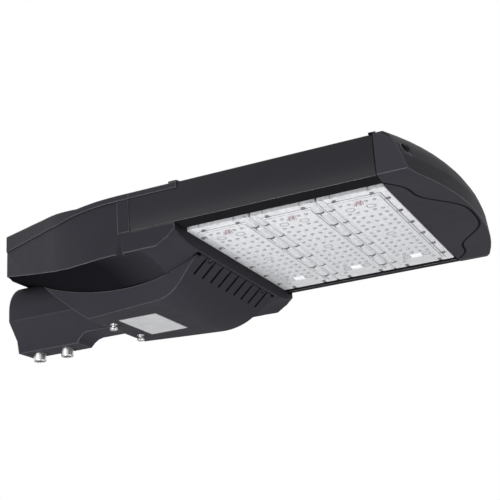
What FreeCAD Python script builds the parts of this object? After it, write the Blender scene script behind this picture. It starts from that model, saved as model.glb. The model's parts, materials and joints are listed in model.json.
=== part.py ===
"""LED street light head: clamp spigot, gear housing with hinged door, finned heat sink, three LED modules.

Origin: centre of the pole socket's mouth. +X runs along the head to its nose, +Y across it, +Z up.
All lengths are millimetres and all angles degrees.
"""
import FreeCAD, Part
import math
import os
import Sketcher

Vector = FreeCAD.Vector

# How far a cutting form reaches when it has to pass right through or over the part
BEYOND = 250

SIZES = [
    # pole spigot and its clamp
    ("pole_bore_diameter", 62.0),
    ("socket_depth", 95.0),
    ("spigot_wall", 6.7),
    ("spigot_length", 137.0),
    ("spigot_flat_depth", 14.7),
    ("shoulder_half_width", 20.1),
    ("shoulder_depth", 36.9),
    ("clamp_block_half_width", 16.3),
    ("clamp_block_depth", 52.4),
    ("clamp_block_length", 89.0),
    ("clamp_block_run_out", 16.0),
    ("spigot_foot_length", 31.0),
    ("spigot_foot_start", "=spigot_length - spigot_foot_length"),
    ("spigot_foot_gap", 0.5),
    ("clamp_bolt_diameter", 10.0),
    ("clamp_bolt_head_diameter", 16.0),
    ("clamp_bolt_head_height", 10.5),
    ("clamp_bolt_hex", 8.0),
    ("clamp_bolt_hex_depth", 6.0),
    ("clamp_bolt_place", 21.5),
    ("clamp_bolt_spacing", 41.6),
    ("clamp_bolt_reach", 31.3),
    ("cable_hole_diameter", 14.0),
    ("cable_hole_height", 9.0),
    ("spigot_ear_width", 16.0),
    ("spigot_ear_thickness", 5.0),
    ("spigot_ear_length", 34.0),
    ("spigot_ear_margin", 3.0),
    ("spigot_ear_start", "=spigot_length - spigot_ear_length - spigot_ear_margin"),
    ("spigot_ear_height", 20.0),
    ("spigot_screw_diameter", 8.0),
    ("spigot_screw_head_width", 13.0),
    ("spigot_screw_head_height", 5.0),
    ("spigot_screw_length", 18.0),
    ("latch_lug_inside", 24.0),
    ("latch_lug_outside", 42.0),
    ("latch_lug_length", 25.0),
    ("latch_lug_thickness", 12.0),
    ("latch_lug_height", 18.0),
    # gear compartment: each place follows from the spigot's inner end
    ("driver_rear_room", 40.0),
    ("driver_start", "=spigot_length + driver_rear_room"),
    ("driver_width", 68.0),
    ("driver_length", 164.0),
    ("driver_height", 37.0),
    ("driver_front_room", 11.0),
    ("gear_rear_room", 13.0),
    ("terminal_start", "=spigot_length + gear_rear_room"),
    ("terminal_width", 20.0),
    ("terminal_length", 44.0),
    ("terminal_height", 19.0),
    ("terminal_place", -40.0),
    ("surge_start", "=spigot_length + gear_rear_room"),
    ("surge_width", 22.0),
    ("surge_length", 48.0),
    ("surge_height", 29.0),
    ("surge_place", 42.0),
    ("tray_height", 34.0),
    ("tray_thickness", 2.0),
    ("tray_rear_room", 11.0),
    ("tray_front_margin", 3.0),
    ("tray_side_room", 18.0),
    ("tray_start", "=spigot_length + tray_rear_room"),
    ("tray_length", "=driver_start + driver_width + tray_front_margin - tray_start"),
    ("tray_width", "=driver_length + 2 * tray_side_room"),
    ("tray_boss_inset", 10.0),
    ("tray_boss_place", "=tray_start + tray_length / 2"),
    ("tray_boss_diameter", 11.0),
    ("tray_screw_diameter", 4.0),
    ("tray_screw_head_width", 7.0),
    ("gland_nut_width", 24.0),
    ("gland_nut_thickness", 6.0),
    ("gland_dome_diameter", 19.0),
    ("gland_dome_length", 9.0),
    ("gland_bore_diameter", 9.0),
    # places along the head that several pieces share
    ("extrusion_start", "=driver_start + driver_width + driver_front_room"),
    ("extrusion_overlap", 55.4),
    ("front_wall_place", "=extrusion_start + extrusion_overlap"),
    # rear housing, a casting that tapers to the pole
    ("head_width", 331.0),
    ("housing_step", 1.0),
    ("housing_wall", 3.5),
    ("taper_setback", 14.4),
    ("taper_start", "=extrusion_start - taper_setback"),
    ("taper_radius", 200.0),
    ("taper_angle", 34.0),
    ("ridge_height", -6.5),
    ("ridge_curve_setback", 46.6),
    ("ridge_curve_start", "=taper_start - ridge_curve_setback"),
    ("ridge_curve_radius", 220.0),
    ("ridge_tail_angle", 17.5),
    ("ridge_front_length", 24.4),
    ("ridge_front_start", "=front_wall_place - ridge_front_length"),
    ("cover_tab_width", 14.0),
    ("cover_tab_thickness", 8.0),
    ("cover_tab_inset", 12.0),
    ("cover_tab_setback", 2.0),
    ("cover_tab_front_place", "=tray_start + cover_tab_setback"),
    ("cover_tab_rear_place", 45.0),
    ("cover_screw_diameter", 5.0),
    ("cover_screw_head_radius", 5.0),
    ("cover_screw_head_height", 4.0),
    ("cover_screw_length", 20.0),
    ("ridge_front_rise", 16.0),
    ("crease_height", 55.0),
    ("crease_rear_height", 77.5),
    ("crease_slope", 0.155),
    ("roof_height", 62.0),
    ("roof_rear_height", 98.5),
    ("roof_slope", 0.2),
    ("roof_crown_radius", 1050.0),
    ("belly_drop", 3.0),
    ("scoop_bow", 0.063),
    ("cover_lip", 1.8),
    ("cover_wall", 3.2),
    ("cover_overhang", 5.6),
    ("cover_band_length", 10.0),
    ("cover_band_end", "=front_wall_place + cover_overhang"),
    ("cover_band_start", "=cover_band_end - cover_band_length"),
    ("cover_band_height", 2.2),
    ("strip_width", 15.4),
    ("front_wall", 6.0),
    ("shelf_depth", 3.8),
    # finned heat sink extrusion
    ("module_count", 3),
    ("module_pitch", 77.0),
    ("module_gap", 1.6),
    ("shelf_clearance", 0.3),
    ("module_start", "=front_wall_place + shelf_clearance - module_gap / 2"),
    ("cap_seam_margin", 0.6),
    ("extrusion_end", "=module_start + module_count * module_pitch + cap_seam_margin"),
    ("extrusion_top", 61.9),
    ("extrusion_wall", 4.0),
    ("lens_face_height", 13.9),
    ("bevel_height", 2.8),
    ("bevel_width", 15.8),
    ("rim_width", 2.0),
    ("pocket_depth", 7.0),
    ("heat_sink_base", 7.0),
    ("fin_thickness", 2.4),
    ("fin_pitch", 11.0),
    ("fin_height", 30.0),
    ("port_inset", 11.0),
    ("port_place", "=head_width / 2 - port_inset"),
    ("port_height", 43.0),
    ("port_radius", 7.3),
    ("port_screw_diameter", 5.0),
    ("housing_screw_head_width", 8.0),
    ("housing_screw_head_height", 4.0),
    ("housing_screw_length", 24.0),
    # nose cap
    ("nose_reach", 62.9),
    ("nose_length", "=extrusion_end + nose_reach"),
    ("nose_sag", 29.0),
    ("nose_plan_power", 2.2),
    ("nose_lean", 17.0),
    ("nose_lean_power", 3.0),
    ("nose_corner_lean", 14.5),
    ("nose_corner_turn", 8.0),
    ("cap_lip", 0.9),
    ("cap_wall", 4.0),
    ("cap_top", 62.2),
    ("cap_band_overlap", 4.0),
    ("cap_band_length", 7.5),
    ("cap_band_top", 63.8),
    ("cap_recess_diameter", 10.0),
    ("cap_screw_seat", 19.5),
    ("cap_screw_head_radius", 4.5),
    ("cap_screw_head_height", 4.5),
    ("cap_screw_length", 40.0),
    ("cap_recess_place", "=extrusion_end + cap_screw_seat"),
    ("wave_groove_width", 1.8),
    ("wave_groove_depth", 1.4),
    # LED modules
    ("module_end_gap", 10.4),
    ("module_length", "=head_width - 2 * (bevel_width + rim_width + module_end_gap)"),
    ("lens_plate_height", 5.8),
    ("lens_face", 2.4),
    ("lens_side_rim", 8.2),
    ("lens_end_rim", 10.8),
    ("board_thickness", 1.6),
    ("board_side_margin", 8.7),
    ("board_end_margin", 11.3),
    ("module_gasket_width", 2.4),
    ("module_screw_columns", 64.6),
    ("module_screw_rows", 6),
    ("module_screw_margin", 30.65),
    ("module_screw_pitch", "=(module_length - 2 * module_screw_margin) / (module_screw_rows - 1)"),
    ("module_end_screw_spacing", 42.0),
    ("module_end_screw_inset", 7.9),
    ("module_end_screw_place", "=module_length / 2 - module_end_screw_inset"),
    ("module_screw_head_width", 5.0),
    ("module_screw_head_height", 1.8),
    ("connector_inset", 42.3),
    ("connector_place", "=module_length / 2 - connector_inset"),
    ("connector_length", 12.0),
    ("connector_width", 9.0),
    ("connector_height", 2.8),
    # gear door
    ("door_bottom", 41.5),
    ("door_wall", 3.0),
    ("door_gap", 0.5),
    ("door_rear_gap", 1.0),
    ("door_rear_bottom", "=spigot_length + door_rear_gap"),
    ("door_rear_top", 60.0),
    ("door_slope_angle", 42.0),
    ("door_slope_radius", 60.0),
    ("door_front_gap", 3.4),
    ("door_front", "=front_wall_place - door_front_gap"),
    ("door_slope_run", 43.0),
    ("door_slope_place", "=door_front - door_slope_run"),
    ("door_low_rear_half_width", 65.8),
    ("door_low_taper", 0.171),
    ("door_high_front_half_width", 111.0),
    ("door_high_mid_half_width", 112.0),
    ("door_high_mid_setback", 106.4),
    ("door_high_mid_place", "=front_wall_place - door_high_mid_setback"),
    ("door_high_rear_half_width", 46.0),
    ("door_high_level", 21.0),
    ("seam_low_setback", 86.0),
    ("seam_low_place", "=door_front - seam_low_setback"),
    ("seam_low_height", -20.3),
    ("seam_rear_radius", 350.0),
    ("seam_front_radius", 215.0),
    ("notch_clearance", 0.4),
    ("mouth_rear_room", 11.0),
    ("mouth_start", "=spigot_length + mouth_rear_room"),
    ("mouth_front_margin", 21.4),
    ("mouth_end", "=front_wall_place - mouth_front_margin"),
    ("mouth_inset", 9.0),
    ("door_gasket_width", 4.0),
    ("door_gasket_thickness", 1.5),
    ("vent_count", 9),
    ("vent_pitch", 20.8),
    ("vent_width", 2.4),
    ("vent_length", 20.0),
    ("vent_margin", 2.0),
    ("vent_top", "=door_front - vent_margin"),
    ("vent_run_out_depth", 1.4),
    # hinge of the gear door
    ("hinge_bead_radius", 3.0),
    ("hinge_bead_clearance", 0.4),
    ("hinge_swing_room", 0.5),
    ("hinge_bead_half_length", 98.0),
    ("hinge_pin_diameter", 3.0),
    ("hinge_running_clearance", 0.05),
    ("hinge_lug_place", 73.0),
    ("hinge_lug_width", 6.0),
    ("hinge_lug_side_gap", 0.5),
    ("hinge_pin_length", 14.0),
    # door screws
    ("door_screw_inset", 14.4),
    ("door_screw_place", "=door_rear_bottom + door_screw_inset"),
    ("door_screw_spacing", 64.8),
    ("door_screw_diameter", 6.0),
    ("door_screw_head_diameter", 9.8),
    ("door_screw_head_height", 8.5),
    ("door_screw_reach", 19.0),
    ("door_screw_clearance", 0.8),
]

doc = FreeCAD.newDocument("street_light_head")
sheet = doc.addObject("Spreadsheet::Sheet", "Sizes")
for row, (alias, number) in enumerate(SIZES, start=1):
    sheet.set(f"A{row}", alias)
    sheet.set(f"B{row}", str(number))
    sheet.setAlias(f"B{row}", alias)
doc.recompute()

NODES = {}


def size(text):
    """The value of an expression over the sheet's names."""
    return float(sheet.evalExpression(linked(text)))


def linked(text):
    """The expression with each bare size name pointed at the sheet."""
    words = []
    for word in str(text).replace("(", " ( ").replace(")", " ) ").split():
        words.append(f"Sizes.{word}" if word in ALIASES else word)
    return " ".join(words)


ALIASES = {alias for alias, _ in SIZES}


def bind(thing, **links):
    for name, text in links.items():
        thing.setExpression(name, linked(text))


def place(thing, x="0", y="0", z="0"):
    for name, text in (("x", x), ("y", y), ("z", z)):
        thing.setExpression(f"Placement.Base.{name}", linked(text))


def block(name, x, y, z):
    """A box between pairs of expressions."""
    box = doc.addObject("Part::Box", name)
    for side, span in (("Length", x), ("Width", y), ("Height", z)):
        bind(box, **{side: f"( {span[1]} ) - ( {span[0]} )"})
    place(box, x[0], y[0], z[0])
    return box


TURNS = {
    "x": FreeCAD.Rotation(Vector(0, 1, 0), 90),
    "y": FreeCAD.Rotation(Vector(1, 0, 0), -90),
    "z": FreeCAD.Rotation(),
}


def rod(name, axis, radius, span, x="0", y="0", z="0"):
    """A cylinder along an axis, from span[0] to span[1] on it."""
    cylinder = doc.addObject("Part::Cylinder", name)
    bind(cylinder, Radius=radius, Height=f"( {span[1]} ) - ( {span[0]} )")
    cylinder.Placement = FreeCAD.Placement(Vector(), TURNS[axis])
    spot = {"x": x, "y": y, "z": z}
    spot[axis] = span[0]
    place(cylinder, **spot)
    return cylinder


def hexagon(name, axis, across, span, x="0", y="0", z="0"):
    prism = doc.addObject("Part::Prism", name)
    prism.Polygon = 6
    bind(prism, Circumradius=f"( {across} ) / 1.7320508", Height=f"( {span[1]} ) - ( {span[0]} )")
    prism.Placement = FreeCAD.Placement(Vector(), TURNS[axis])
    spot = {"x": x, "y": y, "z": z}
    spot[axis] = span[0]
    place(prism, **spot)
    return prism


def fuse(name, parts):
    joined = doc.addObject("Part::MultiFuse", name)
    joined.Shapes = parts
    return joined


def cut(name, base, tools):
    tool = tools[0] if len(tools) == 1 else fuse(f"{name}_tools", tools)
    pared = doc.addObject("Part::Cut", name)
    pared.Base = base
    pared.Tool = tool
    return pared


def group(name, parts):
    bundle = doc.addObject("Part::Compound", name)
    bundle.Links = parts
    return bundle


def shape_of(name, shape):
    """A form that is lofted or curved, held as a feature of the document."""
    feature = doc.addObject("Part::Feature", name)
    feature.Shape = shape
    return feature


def polygon_sketch(body, name, plane, corners):
    sketch = body.newObject("Sketcher::SketchObject", name)
    support = [f for f in body.Origin.OriginFeatures if f.Role == plane][0]
    sketch.AttachmentSupport = [(support, "")]
    sketch.MapMode = "FlatFace"
    points = [Vector(size(a), size(b), 0) for a, b in corners]
    count = len(points)
    for i, point in enumerate(points):
        sketch.addGeometry(Part.LineSegment(point, points[(i + 1) % count]), False)
    for i in range(count):
        sketch.addConstraint(Sketcher.Constraint("Coincident", i, 2, (i + 1) % count, 1))
    for i, pair in enumerate(corners):
        for kind, text, number in zip(("DistanceX", "DistanceY"), pair, points[i]):
            index = sketch.addConstraint(Sketcher.Constraint(kind, -1, 1, i, 1, number))
            sketch.setExpression(f"Constraints[{index}]", linked(text))
    return sketch


def prism(name, plane, corners, start, length):
    """A padded polygon; start is its place along the plane's normal."""
    body = doc.addObject("PartDesign::Body", name)
    sketch = polygon_sketch(body, f"{name}_outline", plane, corners)
    pad = body.newObject("PartDesign::Pad", f"{name}_pad")
    pad.Profile = sketch
    bind(pad, Length=length)
    axis = {"YZ_Plane": "x", "XZ_Plane": "y", "XY_Plane": "z"}[plane]
    place(body, **{axis: start})
    return body


def node(name, thing):
    """Name a finished sub-part."""
    thing.Label = name
    NODES[name] = thing
    return thing


def both_sides(make):
    """The same feature on the near side and on the far side."""
    return [make("near", "-1"), make("far", "1")]


# Curves of the castings, as functions of the place along the head


def half_width(x):
    """Plan outline of the rear housing: straight, then an arc, then a straight taper to the pole."""
    side = size("head_width / 2 - housing_step")
    radius = size("taper_radius")
    angle = math.radians(size("taper_angle"))
    back = size("taper_start") - x
    if back <= 0:
        return side
    arc = radius * math.sin(angle)
    if back <= arc:
        return side - radius + math.sqrt(radius ** 2 - back ** 2)
    return side - radius * (1 - math.cos(angle)) - (back - arc) * math.tan(angle)


def ridge(x):
    """Lower edge of the housing's side walls."""
    low = size("ridge_height")
    radius = size("ridge_curve_radius")
    angle = math.radians(size("ridge_tail_angle"))
    front = size("ridge_front_start")
    if x > front:
        return low + size("ridge_front_rise") * ((x - front) / (size("front_wall_place") - front)) ** 1.3
    back = size("ridge_curve_start") - x
    if back <= 0:
        return low
    arc = radius * math.sin(angle)
    if back <= arc:
        return low + radius - math.sqrt(radius ** 2 - back ** 2)
    return low + radius * (1 - math.cos(angle)) + (back - arc) * math.tan(angle)


def seam(x):
    """Side view of the joint between the housing and its door: two arcs from one low point."""
    reach = x - size("seam_low_place")
    radius = size("seam_front_radius") if reach > 0 else size("seam_rear_radius")
    return size("seam_low_height") + radius - math.sqrt(radius ** 2 - reach ** 2)


def belly(x):
    return min(seam(x), ridge(x) - size("belly_drop"))


def crease(x):
    return max(size("crease_height"), size("crease_rear_height") - size("crease_slope") * x)


def roof(x):
    return max(size("roof_height"), size("roof_rear_height") - size("roof_slope") * x)


def door_high_arc():
    """Upper outline of the door's flared sides, as a circle through three places."""
    rear = Vector(size("door_rear_top"), size("door_high_rear_half_width"), 0)
    middle = Vector(size("door_high_mid_place"), size("door_high_mid_half_width"), 0)
    front = Vector(size("front_wall_place"), size("door_high_front_half_width"), 0)
    return rear, middle, front


def door_low(x):
    return size("door_low_rear_half_width") + size("door_low_taper") * (x - size("door_rear_bottom"))


def door_edge(x):
    """Half-width of the door where its flared side meets the seam."""
    rear, middle, front = door_high_arc()
    circle = Part.Circle(rear, middle, front)
    high = circle.Center.y + math.sqrt(circle.Radius ** 2 - (x - circle.Center.x) ** 2)
    rise = (seam(x) + size("door_bottom")) / (size("door_high_level") + size("door_bottom"))
    return door_low(x) + (high - door_low(x)) * rise


def belly_half_width(x):
    """Where the scoop under the side wall ends: at the door, or at the spigot behind it."""
    rear = size("door_rear_top")
    if x >= rear:
        return door_edge(x)
    return door_edge(rear) - (rear - x) * 0.25


def line(a, b):
    return Part.LineSegment(a, b).toShape()


def arc(a, b, c):
    return Part.Arc(a, b, c).toShape()


def plan_outline(inset, first, last, z):
    """Plan of the housing between two places along the head, as straight lines and arcs."""
    bend = size("taper_start") - size("taper_radius") * math.sin(math.radians(size("taper_angle")))
    front = size("taper_start")
    middle = (bend + front) / 2

    def spot(x, sign):
        return Vector(x, sign * (half_width(x) - inset), z)

    edges = [line(spot(first, 1), spot(first, -1))]
    edges.append(line(spot(first, -1), spot(bend, -1)))
    edges.append(arc(spot(bend, -1), spot(middle, -1), spot(front, -1)))
    edges.append(line(spot(front, -1), spot(last, -1)))
    edges.append(line(spot(last, -1), spot(last, 1)))
    edges.append(line(spot(last, 1), spot(front, 1)))
    edges.append(arc(spot(front, 1), spot(middle, 1), spot(bend, 1)))
    edges.append(line(spot(bend, 1), spot(first, 1)))
    return Part.Wire(edges)


def plan_prism(inset, first, last, low, high):
    return Part.Face(plan_outline(inset, first, last, low)).extrude(Vector(0, 0, high - low))


def scoop_section(x, steps):
    """What lies under the housing: a hollow bow from each side's ridge in to a level floor."""
    w = half_width(x)
    b = belly_half_width(x)
    z_ridge = ridge(x)
    z_belly = belly(x)
    front = size("ridge_front_start")
    bow = size("scoop_bow")
    if x > front:
        bow *= 1 - 2 * (x - front) / (size("front_wall_place") - front)
    beyond = 1 + 4 / (w - b)
    shares = [i / steps for i in range(steps)] + [beyond]
    right = []
    for t in shares:
        rise = 4 * bow * (w - b) * t * (1 - t)
        right.append(Vector(x, b + t * (w - b), z_belly + t * (z_ridge - z_belly) + rise))
    right += [Vector(x, BEYOND, right[-1].z), Vector(x, BEYOND, -90)]
    left = [Vector(p.x, -p.y, p.z) for p in reversed(right)]
    return left + right


def under_housing(steps):
    """Faceted through set stations, so that the floor's inside can repeat it one wall higher."""
    front = size("front_wall_place")
    bend = size("ridge_curve_start")
    ridge_front = size("ridge_front_start")
    taper = size("taper_start")
    rows = [-10] + stations(25, bend, 7) + [taper, (taper + ridge_front) / 2, ridge_front]
    rows += [(ridge_front + front) / 2, front + 1]
    return faceted_loft([scoop_section(x, steps) for x in rows])


def above_crease(lift):
    """Everything over the parting line, which is two straight stretches in side view."""
    bend = (size("crease_rear_height") - size("crease_height")) / size("crease_slope")
    back = -20
    front = size("front_wall_place") + BEYOND
    corners = [
        across(back, size("crease_rear_height") - size("crease_slope") * back + lift),
        across(bend, size("crease_height") + lift),
        across(front, size("crease_height") + lift),
        across(front, BEYOND),
        across(back, BEYOND),
    ]
    return side_profile([line(a, b) for a, b in zip(corners, corners[1:] + corners[:1])], BEYOND)


def roof_at(x, y):
    """Crowned across the head: the roof's edge height is kept at the plan outline."""
    return roof(x) + (half_width(x) ** 2 - y ** 2) / (2 * size("roof_crown_radius"))


def above_roof(lift, steps):
    """Everything over the crowned roof."""
    bend = (size("roof_rear_height") - size("roof_height")) / size("roof_slope")
    half = size("head_width / 2") + 25
    ys = [half * (2 * i / steps - 1) for i in range(steps + 1)]

    def section(x):
        under = [Vector(x, y, roof_at(x, y) + lift) for y in ys]
        over = [Vector(x, half, BEYOND), Vector(x, -half, BEYOND)]
        return under + over

    taper = size("taper_start")
    rows = [-20] + stations(30, bend, 5) + [(bend + taper) / 2, taper, taper + BEYOND]
    return faceted_loft([section(x) for x in rows])


def stations(first, last, count):
    return [first + (last - first) * i / (count - 1) for i in range(count)]


def loft(wires, ruled=False):
    return Part.makeLoft(wires, True, ruled)


FLAT = 1e-7


def faceted_loft(sections):
    """A solid of flat facets through closed sections that have the same number of corners."""
    count = len(sections[0])
    faces = [Part.Face(Part.makePolygon(ring + ring[:1])) for ring in (sections[0], sections[-1])]
    for ring, after in zip(sections, sections[1:]):
        for i in range(count):
            j = (i + 1) % count
            a, b, c, d = ring[i], ring[j], after[j], after[i]
            facets = [(a, b, c), (a, c, d)] if i < count // 2 else [(a, b, d), (b, c, d)]
            if abs((b - a).cross(c - a).normalize().dot(d - a)) < FLAT:
                facets = [(a, b, c, d)]
            faces += [Part.Face(Part.makePolygon(list(facet) + [facet[0]])) for facet in facets]
    solid = Part.makeSolid(Part.makeShell(faces))
    if solid.Volume < 0:
        solid.reverse()
    return solid


def box_shape(x, y, z):
    """A plain box from numbers, for the forms that are lofted."""
    corner = Vector(x[0], y[0], z[0])
    return Part.makeBox(x[1] - x[0], y[1] - y[0], z[1] - z[0], corner)


def slab(outline, low, high):
    """A plan outline of straight edges as an upright prism."""
    wire = Part.makePolygon([Vector(x, y, low) for x, y in outline + outline[:1]])
    return Part.Face(wire).extrude(Vector(0, 0, high - low))


def mouth_outline(grow):
    """Plan of the housing's opening behind the door, grown by a margin."""
    start = size("mouth_start") - grow
    end = size("mouth_end") + grow
    inset = size("mouth_inset") - grow
    places = stations(start, end, 4)
    near = [(x, -(door_edge(x) - inset)) for x in places]
    far = [(x, door_edge(x) - inset) for x in reversed(places)]
    return near + far


def side_profile(edges, reach):
    """A face drawn in side view, swept across the head."""
    face = Part.Face(Part.Wire(edges))
    face.translate(Vector(0, -reach, 0))
    return face.extrude(Vector(0, 2 * reach, 0))


def across(x, z):
    return Vector(x, 0, z)


def seam_edges(first, last, lift):
    """The seam's two arcs from first to last, moved up by lift."""
    low = size("seam_low_place")
    middle = (first + low) / 2
    ahead = (low + last) / 2
    start = across(first, seam(first) + lift)
    bottom = across(low, seam(low) + lift)
    end = across(last, seam(last) + lift)
    rear = arc(start, across(middle, seam(middle) + lift), bottom)
    front = arc(bottom, across(ahead, seam(ahead) + lift), end)
    return rear, front


# Pole spigot

OUTER = "( pole_bore_diameter / 2 + spigot_wall )"


def pole_spigot():
    barrel = rod("spigot_barrel", "x", OUTER, ("0", "spigot_length"))
    corners = [
        (f"- {OUTER}", "0"),
        (f"- {OUTER}", "- spigot_flat_depth"),
        ("- shoulder_half_width", "- shoulder_depth"),
        ("- clamp_block_half_width", "- clamp_block_depth"),
        ("clamp_block_half_width", "- clamp_block_depth"),
        ("shoulder_half_width", "- shoulder_depth"),
        (OUTER, "- spigot_flat_depth"),
        (OUTER, "0"),
    ]
    whole_skirt = prism("spigot_skirt_whole", "YZ_Plane", corners, "0", "spigot_length")
    tail = "- door_bottom + spigot_foot_gap"
    drop = f"( clamp_block_depth + {tail} )"
    relief_corners = [
        ("clamp_block_length", "- clamp_block_depth - 1"),
        ("clamp_block_length", "- clamp_block_depth"),
        ("clamp_block_length + 0.28 * clamp_block_run_out", f"{tail} - {drop} * 0.5"),
        ("clamp_block_length + 0.62 * clamp_block_run_out", f"{tail} - {drop} * 0.15"),
        ("clamp_block_length + clamp_block_run_out", tail),
        ("spigot_length + 1", tail),
        ("spigot_length + 1", "- clamp_block_depth - 1"),
    ]
    reach = "( shoulder_half_width + 1 )"
    relief = prism("clamp_relief", "XZ_Plane", relief_corners, reach, f"2 * {reach}")
    skirt = cut("spigot_skirt", whole_skirt, [relief])
    run = "( spigot_length - spigot_foot_start )"
    sink = f"( - spigot_flat_depth - ( {tail} ) )"
    foot_corners = [("spigot_foot_start", "- spigot_flat_depth")]
    for along, down in ((0.35, 0.17), (0.6, 0.42), (0.82, 0.75), (1, 1)):
        level = f"- spigot_flat_depth - {down} * {sink}"
        foot_corners.append((f"spigot_foot_start + {along} * {run}", level))
    foot_corners.append(("spigot_length", "- spigot_flat_depth"))
    reach = f"( {OUTER} - spigot_foot_gap )"
    foot = prism("spigot_foot", "XZ_Plane", foot_corners, reach, f"2 * {reach}")
    ears = block(
        "spigot_ears",
        ("spigot_ear_start", "spigot_ear_start + spigot_ear_length"),
        (f"- {OUTER} - spigot_ear_width", f"{OUTER} + spigot_ear_width"),
        ("spigot_ear_height", "spigot_ear_height + spigot_ear_thickness"),
    )

    def lug(side, sign):
        reach = "latch_lug_outside - latch_lug_inside"
        start = "- latch_lug_outside" if side == "near" else "latch_lug_inside"
        low = "- latch_lug_height - latch_lug_thickness"
        return block(
            f"latch_lug_{side}",
            ("spigot_length - 1", "spigot_length + latch_lug_length"),
            (start, f"( {start} ) + {reach}"),
            (low, "- latch_lug_height"),
        )

    solid = fuse("spigot_solid", [barrel, skirt, foot, ears] + both_sides(lug))
    cable_span = ("socket_depth - 1", "spigot_length + 1")
    tools = [
        rod("pole_bore", "x", "pole_bore_diameter / 2", ("-1", "socket_depth")),
        rod("cable_hole", "x", "cable_hole_diameter / 2", cable_span, z="cable_hole_height"),
    ]
    for i in range(2):
        x = f"clamp_bolt_place + {i} * clamp_bolt_spacing"
        radius = "clamp_bolt_diameter / 2 + 0.02"
        tools.append(rod(f"clamp_hole_{i + 1}", "z", radius, ("- clamp_block_depth - 1", "0"), x=x))
    for side, sign in (("near", "-1"), ("far", "1")):
        spot = spigot_screw_spot(sign)
        span = ("spigot_ear_height - 1", "spigot_ear_height + spigot_ear_thickness + 1")
        tools.append(rod(f"ear_hole_{side}", "z", "spigot_screw_diameter / 2 + 0.2", span, **spot))
        radius = "door_screw_diameter / 2 + door_screw_clearance"
        span = ("- latch_lug_height - latch_lug_thickness - 1", "- latch_lug_height + 1")
        y = f"{sign} * door_screw_spacing / 2"
        tools.append(rod(f"latch_hole_{side}", "z", radius, span, x="door_screw_place", y=y))
    node("pole_spigot", cut("spigot", solid, tools))


def spigot_screw_spot(sign):
    x = "spigot_ear_start + spigot_ear_length / 2"
    y = f"{sign} * ( {OUTER} + spigot_ear_width * 0.55 )"
    return {"x": x, "y": y}


def hex_screw(name, axis, widths, head, shank, x="0", y="0", z="0"):
    """A hexagon head screw: its head and its shank are stretches along an axis, of one width each."""
    top = hexagon(f"{name}_head", axis, widths[0], head, x=x, y=y, z=z)
    stem = rod(f"{name}_shank", axis, f"{widths[1]} / 2", shank, x=x, y=y, z=z)
    return fuse(name, [top, stem])


def cap_screw(name, radius, head_radius, head_height, face, tip, x, y):
    """A round-headed screw that points up: its head hangs below the face."""
    head = rod(f"{name}_head", "z", head_radius, (f"{face} - {head_height}", face), x=x, y=y)
    shank = rod(f"{name}_shank", "z", radius, (f"{face} - 1", tip), x=x, y=y)
    return fuse(f"{name}_solid", [head, shank])


def clamp_bolts():
    bolts = []
    face = "- clamp_block_depth"
    low = f"{face} - clamp_bolt_head_height"
    for i in range(2):
        x = f"clamp_bolt_place + {i} * clamp_bolt_spacing"
        solid = cap_screw(
            f"clamp_bolt_{i + 1}", "clamp_bolt_diameter / 2", "clamp_bolt_head_diameter / 2",
            "clamp_bolt_head_height", face, "- clamp_bolt_reach", x, "0",
        )
        span = (f"{low} - 1", f"{low} + clamp_bolt_hex_depth")
        socket = hexagon(f"clamp_bolt_socket_{i + 1}", "z", "clamp_bolt_hex", span, x=x)
        bolts.append(cut(f"clamp_bolt_{i + 1}", solid, [socket]))
    node("clamp_bolts", group("clamp_bolt_pair", bolts))


def spigot_screws():
    screws = []
    face = "spigot_ear_height + spigot_ear_thickness"
    for side, sign in (("near", "-1"), ("far", "1")):
        head = (face, f"{face} + spigot_screw_head_height")
        shank = (f"{face} - spigot_screw_length", f"{face} + 1")
        widths = ("spigot_screw_head_width", "spigot_screw_diameter")
        spot = spigot_screw_spot(sign)
        screws.append(hex_screw(f"spigot_screw_{side}", "z", widths, head, shank, **spot))
    node("spigot_screws", group("spigot_screw_pair", screws))


# Rear housing and its top cover


def housing_tub():
    """Walls and floor of the gear compartment, before its holes."""
    wall = size("housing_wall")
    front = size("front_wall_place")
    face = size("lens_face_height")
    start = size("extrusion_start")
    under = under_housing(4)
    outer = plan_prism(0, 0, front, -60, 120).cut([under, above_crease(0)])
    raised = under_housing(2).translated(Vector(0, 0, wall))
    hollow = plan_prism(wall, wall, start - 4, -60, 140).cut(raised)
    half = size("head_width / 2 - housing_step - housing_wall") - 0.5
    room_end = front - size("front_wall")
    low_room = box_shape((start - 6, room_end), (-half, half), (-60, face - size("shelf_depth")))
    low_hollow = low_room.cut(raised)
    above = over_bevel(start - 0.2, front + 50)
    mouth = slab(mouth_outline(0), -60, 8)
    return outer, outer.cut([hollow, low_hollow, above, mouth])


def over_bevel(first, last):
    """Everything from the extrusion's underside and bevelled arrises up, with a small clearance."""
    low = size("lens_face_height") - 0.2
    rim = size("head_width / 2 - bevel_width")
    rise = size("bevel_height") / size("bevel_width")
    far = rim + 40
    high = low + rise * (far - rim)
    corners = [(-rim, low), (rim, low), (far, high), (far, 140), (-far, 140), (-far, high)]
    wire = Part.makePolygon([Vector(first, y, z) for y, z in corners + corners[:1]])
    return Part.Face(wire).extrude(Vector(last - first, 0, 0))


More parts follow.
